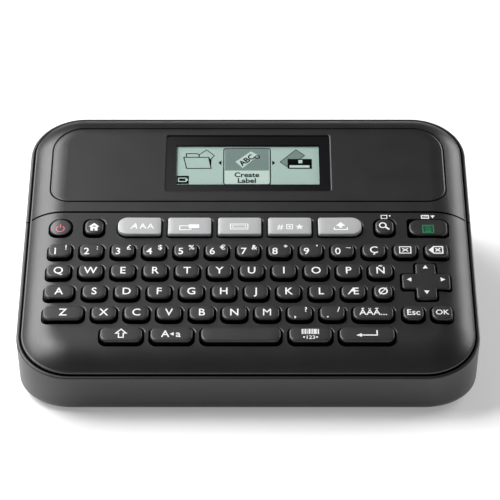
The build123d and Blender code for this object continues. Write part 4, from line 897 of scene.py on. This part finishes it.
# %% Screen picture
GLASS, LAYER = 5.12, 0.02
TAG = [(-5.5, 113.5), (1.2, 119.8), (4.4, 117.3), (-2.3, 109.8)]
SHEET = [(13.7, 113.4), (20.6, 120.8), (24.3, 117.3), (17.2, 110.1)]


def show(name, layer, material, marks):
    """Lays marks over the screen's glass, in a layer counted from the glass."""
    marks.lay(name, TOP, GLASS + layer * LAYER, material, "root", "screen")


show("screen_tone_field", 0, TONE, Marks().bar(-0.5, 114.8, 18.8, 12.9))
show("screen_pale_field", 0, PALE, Marks().bar(-0.5, 104.3, 18.8, 8.0))
show("screen_tag", 1, PALE, Marks().fill(*TAG[::-1]))
show("screen_sheet", 1, TONE, Marks().fill(*SHEET[::-1]))
ink = Marks().line([(-27.7, 116.2), (-17.0, 116.2), (-15.9, 109.6), (-26.4, 109.6)], 0.42, True)
ink.line([(-26.6, 116.2), (-26.6, 118.4), (-21.8, 118.4), (-21.1, 117.5), (-21.1, 116.2)], 0.42)
ink.line([(-21.1, 117.7), (-18.0, 120.6), (-14.6, 117.3), (-16.3, 114.6)], 0.36)
ink.fill((-17.0, 116.2), (-15.9, 109.6), (-15.8, 114.4))
ink.fill((-12.8, 112.9), (-11.5, 111.5), (-11.5, 114.3)).fill((11.6, 112.9), (10.3, 114.3), (10.3, 111.5))
ink.line(outline((-10.5, 100.0, 20.0, 21.6, (1.2,) * 4), 0.0), 0.42, True)
ink.word("ABC", -0.6, 114.6, 2.7, bold=0.03, turn=43).arc(4.0, 116.4, 0.9, 0.4)
ink.word("Create", -0.6, 105.8, 2.6, bold=0.025).word("Label", -0.6, 102.4, 2.6, bold=0.025)
ink.line(SHEET, 0.3, True).bar(22.1, 112.3, 10.4, 5.8).bar(-27.9, 102.8, 5.2, 4.8)
show("screen_ink_marks", 2, INK, ink)
light = Marks().bar(22.0, 110.7, 8.6, 1.4).bar(22.4, 113.6, 1.7, 1.9)
light.box(-28.1, 102.8, 3.2, 2.0, 0.45).bar(-26.1, 102.8, 0.6, 1.1)
show("screen_light_marks", 3, PALE, light)
print("screen drawn")

# %% [markdown]
# ## Painted shadow line and lip
# Between the tub's rim and the top there is a black shadow line, painted as a thin black strip, and the top's
# lip has a fine facet that catches the light of the floor. The edges round the panel and round the pane are
# broken by facets too, which shine at the ends, and the panel's groove is painted black, as its shade. Each
# is a profile of a few points, as inset and height, carried round an outline. The right rear corners of the
# key holes have short ones.

# %% Trims round the case
WHOLE = (-HALF_WIDTH, -RIM, 2 * HALF_WIDTH, SLAB_LENGTH + 2 * RIM, (23.0,) * 4)
PANEL = (-83.7, 89.3, 167.4, 43.2, (8.0, 8.0, 13.0, 13.0))
LENS = (-35.4, 94.8, 70.8, 33.9, (1.4,) * 4)


def trim(name, base, insets, heights, material, level=None):
    """Rings at the given insets and heights round an outline, joined by quads, over a plane or a crown."""
    rings = np.stack([outline(base, d, 24) for d in insets])
    height = np.repeat(np.array(heights, float)[:, None], rings.shape[1], 1)
    if level:
        height = height + level(rings)
    points = TOP.place(np.concatenate([rings, height[..., None]], -1).reshape(-1, 3))
    faces = tube_faces(*rings.shape[:2])[:-2]
    piece(name, points, faces, material, "root", "case_plastic", smooth=False)


def hole_facets(keys, outsets, heights, steps=8):
    """A facet round the right rear corner of each key hole: that corner's points, moved out and up."""
    rings = np.array([[outline(key, -d, steps)[2 * steps:3 * steps] for d in outsets] for key in keys])
    level = crown_level(rings) + np.array(heights, float)[None, :, None]
    points = TOP.place(np.concatenate([rings, level[..., None]], -1).reshape(-1, 3))
    block = len(outsets) * steps
    faces = np.concatenate([sheet_faces(len(outsets), steps) + n * block for n in range(len(keys))])
    piece("hole_facets", points, faces.tolist(), CASE, "root", "case_plastic", smooth=False)


# A thin strip of painted shadow lies on the rim along the lip, where the gap between tub and top is.
trim("rim_shadow_strip", WHOLE, (1.2, 2.3), (0.03, 0.03), PAINTED_SHADOW)
trim("lip_facet", WHOLE, (2.1, 2.0, 2.25, 2.6), (0.5, 0.56, 1.06, 1.22), CASE)
trim("panel_facet", PANEL, (-0.02, 0.0, 0.36, 0.44), (-0.3, 0.01, 0.11, 0.02), CASE, crown_level)
# The panel's groove is floored with a strip of painted shade.
trim("panel_groove", PANEL, (-0.72, -0.02), (-0.2, -0.2), PAINTED_SHADOW, crown_level)
trim("lens_facet", LENS, (-0.45, -0.2, 0.3, 0.31), (0.02, 0.03, -0.12, -0.58), CASE, crown_level)
holes = [key for node in KEYS if node != "power_key" for key in KEYS[node]]
hole_facets(holes, (0.02, 0.4, 0.5), (0.02, 0.13, 0.02))
print("trims laid, with facets at", len(holes), "holes")

# %% [markdown]
# ## Underside and sides
# The battery cover has moulded grip ribs, and beside the power inlet there is a short printed bar. A rib
# is a low bar with a rounded section: a half circle carried along a line.

# %% Ribs and inlet sign
RIB_COUNT, RIB_FIRST, RIB_PITCH, RIB_HALF, RIB_WIDTH, RIB_RISE = 4, 7, 2.4, 9, 1.0, 0.4


def rounded_bar(plane, start, end, width, rise, turns=9, steps=9):
    """A half-round bar: a half circle of the width and rise, carried along a line and shrunk at its ends."""
    start, end = np.array(start, float), np.array(end, float)
    ahead = (end - start) / np.linalg.norm(end - start)
    side = np.array([-ahead[1], ahead[0]])
    along = np.linspace(-1, 1, steps)
    thin = np.sqrt(np.clip(1 - np.abs(along) ** 8, 0.02, 1))
    turn = np.linspace(0, np.pi, turns)
    path = (start + end) / 2 + along[:, None] * (end - start) / 2
    flat = path[:, None] + (np.cos(turn) * width / 2)[None, :, None] * thin[:, None, None] * side
    level = np.sin(turn)[None, :] * thin[:, None] * rise
    return plane.place(np.concatenate([flat, level[..., None]], -1).reshape(-1, 3)), (steps, turns)


def bars_piece(name, plane, bars, material, body, slot):
    """Several half-round bars as one mesh."""
    points, faces, count = [], [], 0
    for start, end, width, rise in bars:
        made, (steps, turns) = rounded_bar(plane, start, end, width, rise)
        points.append(made)
        faces += (sheet_faces(steps, turns) + count).tolist()
        count += len(made)
    piece(name, np.concatenate(points), faces, material, body, slot)


cover_low, cover_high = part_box("battery_cover")
print("battery cover", [round(v / MM, 1) for v in cover_low], [round(v / MM, 1) for v in cover_high])
rear_edge = cover_high.y / MM
rows = [-rear_edge + RIB_FIRST + RIB_PITCH * n for n in range(RIB_COUNT)]
ribs = [((-RIB_HALF, row), (RIB_HALF, row), RIB_WIDTH, RIB_RISE) for row in rows]
bars_piece("cover_ribs", UNDER, ribs, RAISED, "battery_door", "case_plastic")
Marks().bar(21.0, 19.2, 3.2, 0.4).lay("inlet_sign", RIGHT, INK_RISE, LEGEND, "root", "case_plastic")
print("ribs and sign laid")

# %% [markdown]
# ## Floor
# The photograph has a white ground with a soft shadow. The floor is plain white card. For the camera, and
# for gloss and glass, it adds a little white, so that the ground is white while the shadow stays.

# %% Floor
FLOOR_HALF, CARD_GLOW = 4.0, 0.28
CAMERA_RAY, GLOSSY_RAY, TRANSMISSION_RAY = 0, 3, 6
corners = FLOOR_HALF * np.array([(-1, -1), (1, -1), (1, 1), (-1, 1)])
floor_mesh = bpy.data.meshes.new("floor")
floor_mesh.from_pydata(np.column_stack([corners, np.zeros(4)]).tolist(), [], [[0, 1, 2, 3]])
floor = bpy.data.objects.new("floor", floor_mesh)
bpy.context.scene.collection.objects.link(floor)
card = bpy.data.materials.new("floor_card")
card.use_nodes = True
card.node_tree.nodes.clear()
wire = Wire(card.node_tree)
rays = [wire.add("ShaderNodeLightPath", out=kind) for kind in (CAMERA_RAY, GLOSSY_RAY, TRANSMISSION_RAY)]
seen = wire.maths("MAXIMUM", wire.maths("MAXIMUM", *rays[:2]), rays[2])
plain = wire.add("ShaderNodeBsdfDiffuse", Color=(0.8, 0.8, 0.8, 1))
glow = wire.add("ShaderNodeEmission", Color=(1, 1, 1, 1), Strength=CARD_GLOW)
bright = wire.add("ShaderNodeAddShader", i0=plain, i1=glow)
shown = wire.add("ShaderNodeMixShader", i0=seen, i1=plain, i2=bright)
wire.put(card.node_tree.nodes.new("ShaderNodeOutputMaterial").inputs["Surface"], shown)
dress(floor, card)
print("floor laid")

# %% [markdown]
# ## Light and air
# Soft light from both sides draws pale bands along the left and right edges of the case. A wide soft box
# stands at the left and a lower one behind at the right. Two weak ones above brighten the near left corner
# and the tops of the keys. The air is pale at the horizon, dimmer behind and dark overhead, so the top
# stays dark.

# %% Lights
AIM = np.array((0, 0, 0.03))


def soft_light(name, place, size, power):
    """A soft box: an area light at a place, turned to look at the middle of the case."""
    lamp = bpy.data.lights.new(name, "AREA")
    lamp.shape, lamp.size, lamp.size_y, lamp.energy = "RECTANGLE", size[0], size[1], power
    made = bpy.data.objects.new(name, lamp)
    made.location = place
    ahead = AIM - np.array(place, float)
    flat = math.hypot(ahead[0], ahead[1])
    made.rotation_euler = (math.pi / 2 + math.atan2(ahead[2], flat), 0, math.atan2(-ahead[0], ahead[1]))
    bpy.context.scene.collection.objects.link(made)


soft_light("light_left", (-0.70, 0.16, 0.75), (1.25, 0.7), 16.5)
soft_light("light_corner", (-0.50, -0.12, 0.93), (0.3, 0.3), 2.0)
soft_light("light_right", (0.82, 0.46, 0.46), (0.9, 0.35), 5.0)
soft_light("light_top", (-0.50, 0.30, 1.15), (0.9, 1.0), 1.8)
world = bpy.data.worlds.new("air")
bpy.context.scene.world = world
world.use_nodes = True
air = Wire(world.node_tree)
back = world.node_tree.nodes["Background"]
way = air.add("ShaderNodeTexCoord")
pale = way.part(2).ramp(0.0, 0.27, 0.95, 0.1)
dim = way.part(1).ramp(0.5, 0.9, 1.0, 0.35)
seen = air.add("ShaderNodeLightPath", out=CAMERA_RAY)
air.put(back.inputs["Strength"], pale * air.maths("MAXIMUM", dim, seen))
back.inputs["Color"].default_value = (1, 1, 1, 1)

# %% [markdown]
# ## Finish
# The view layer is brought up to date.

# %% Finish
bpy.context.view_layer.update()
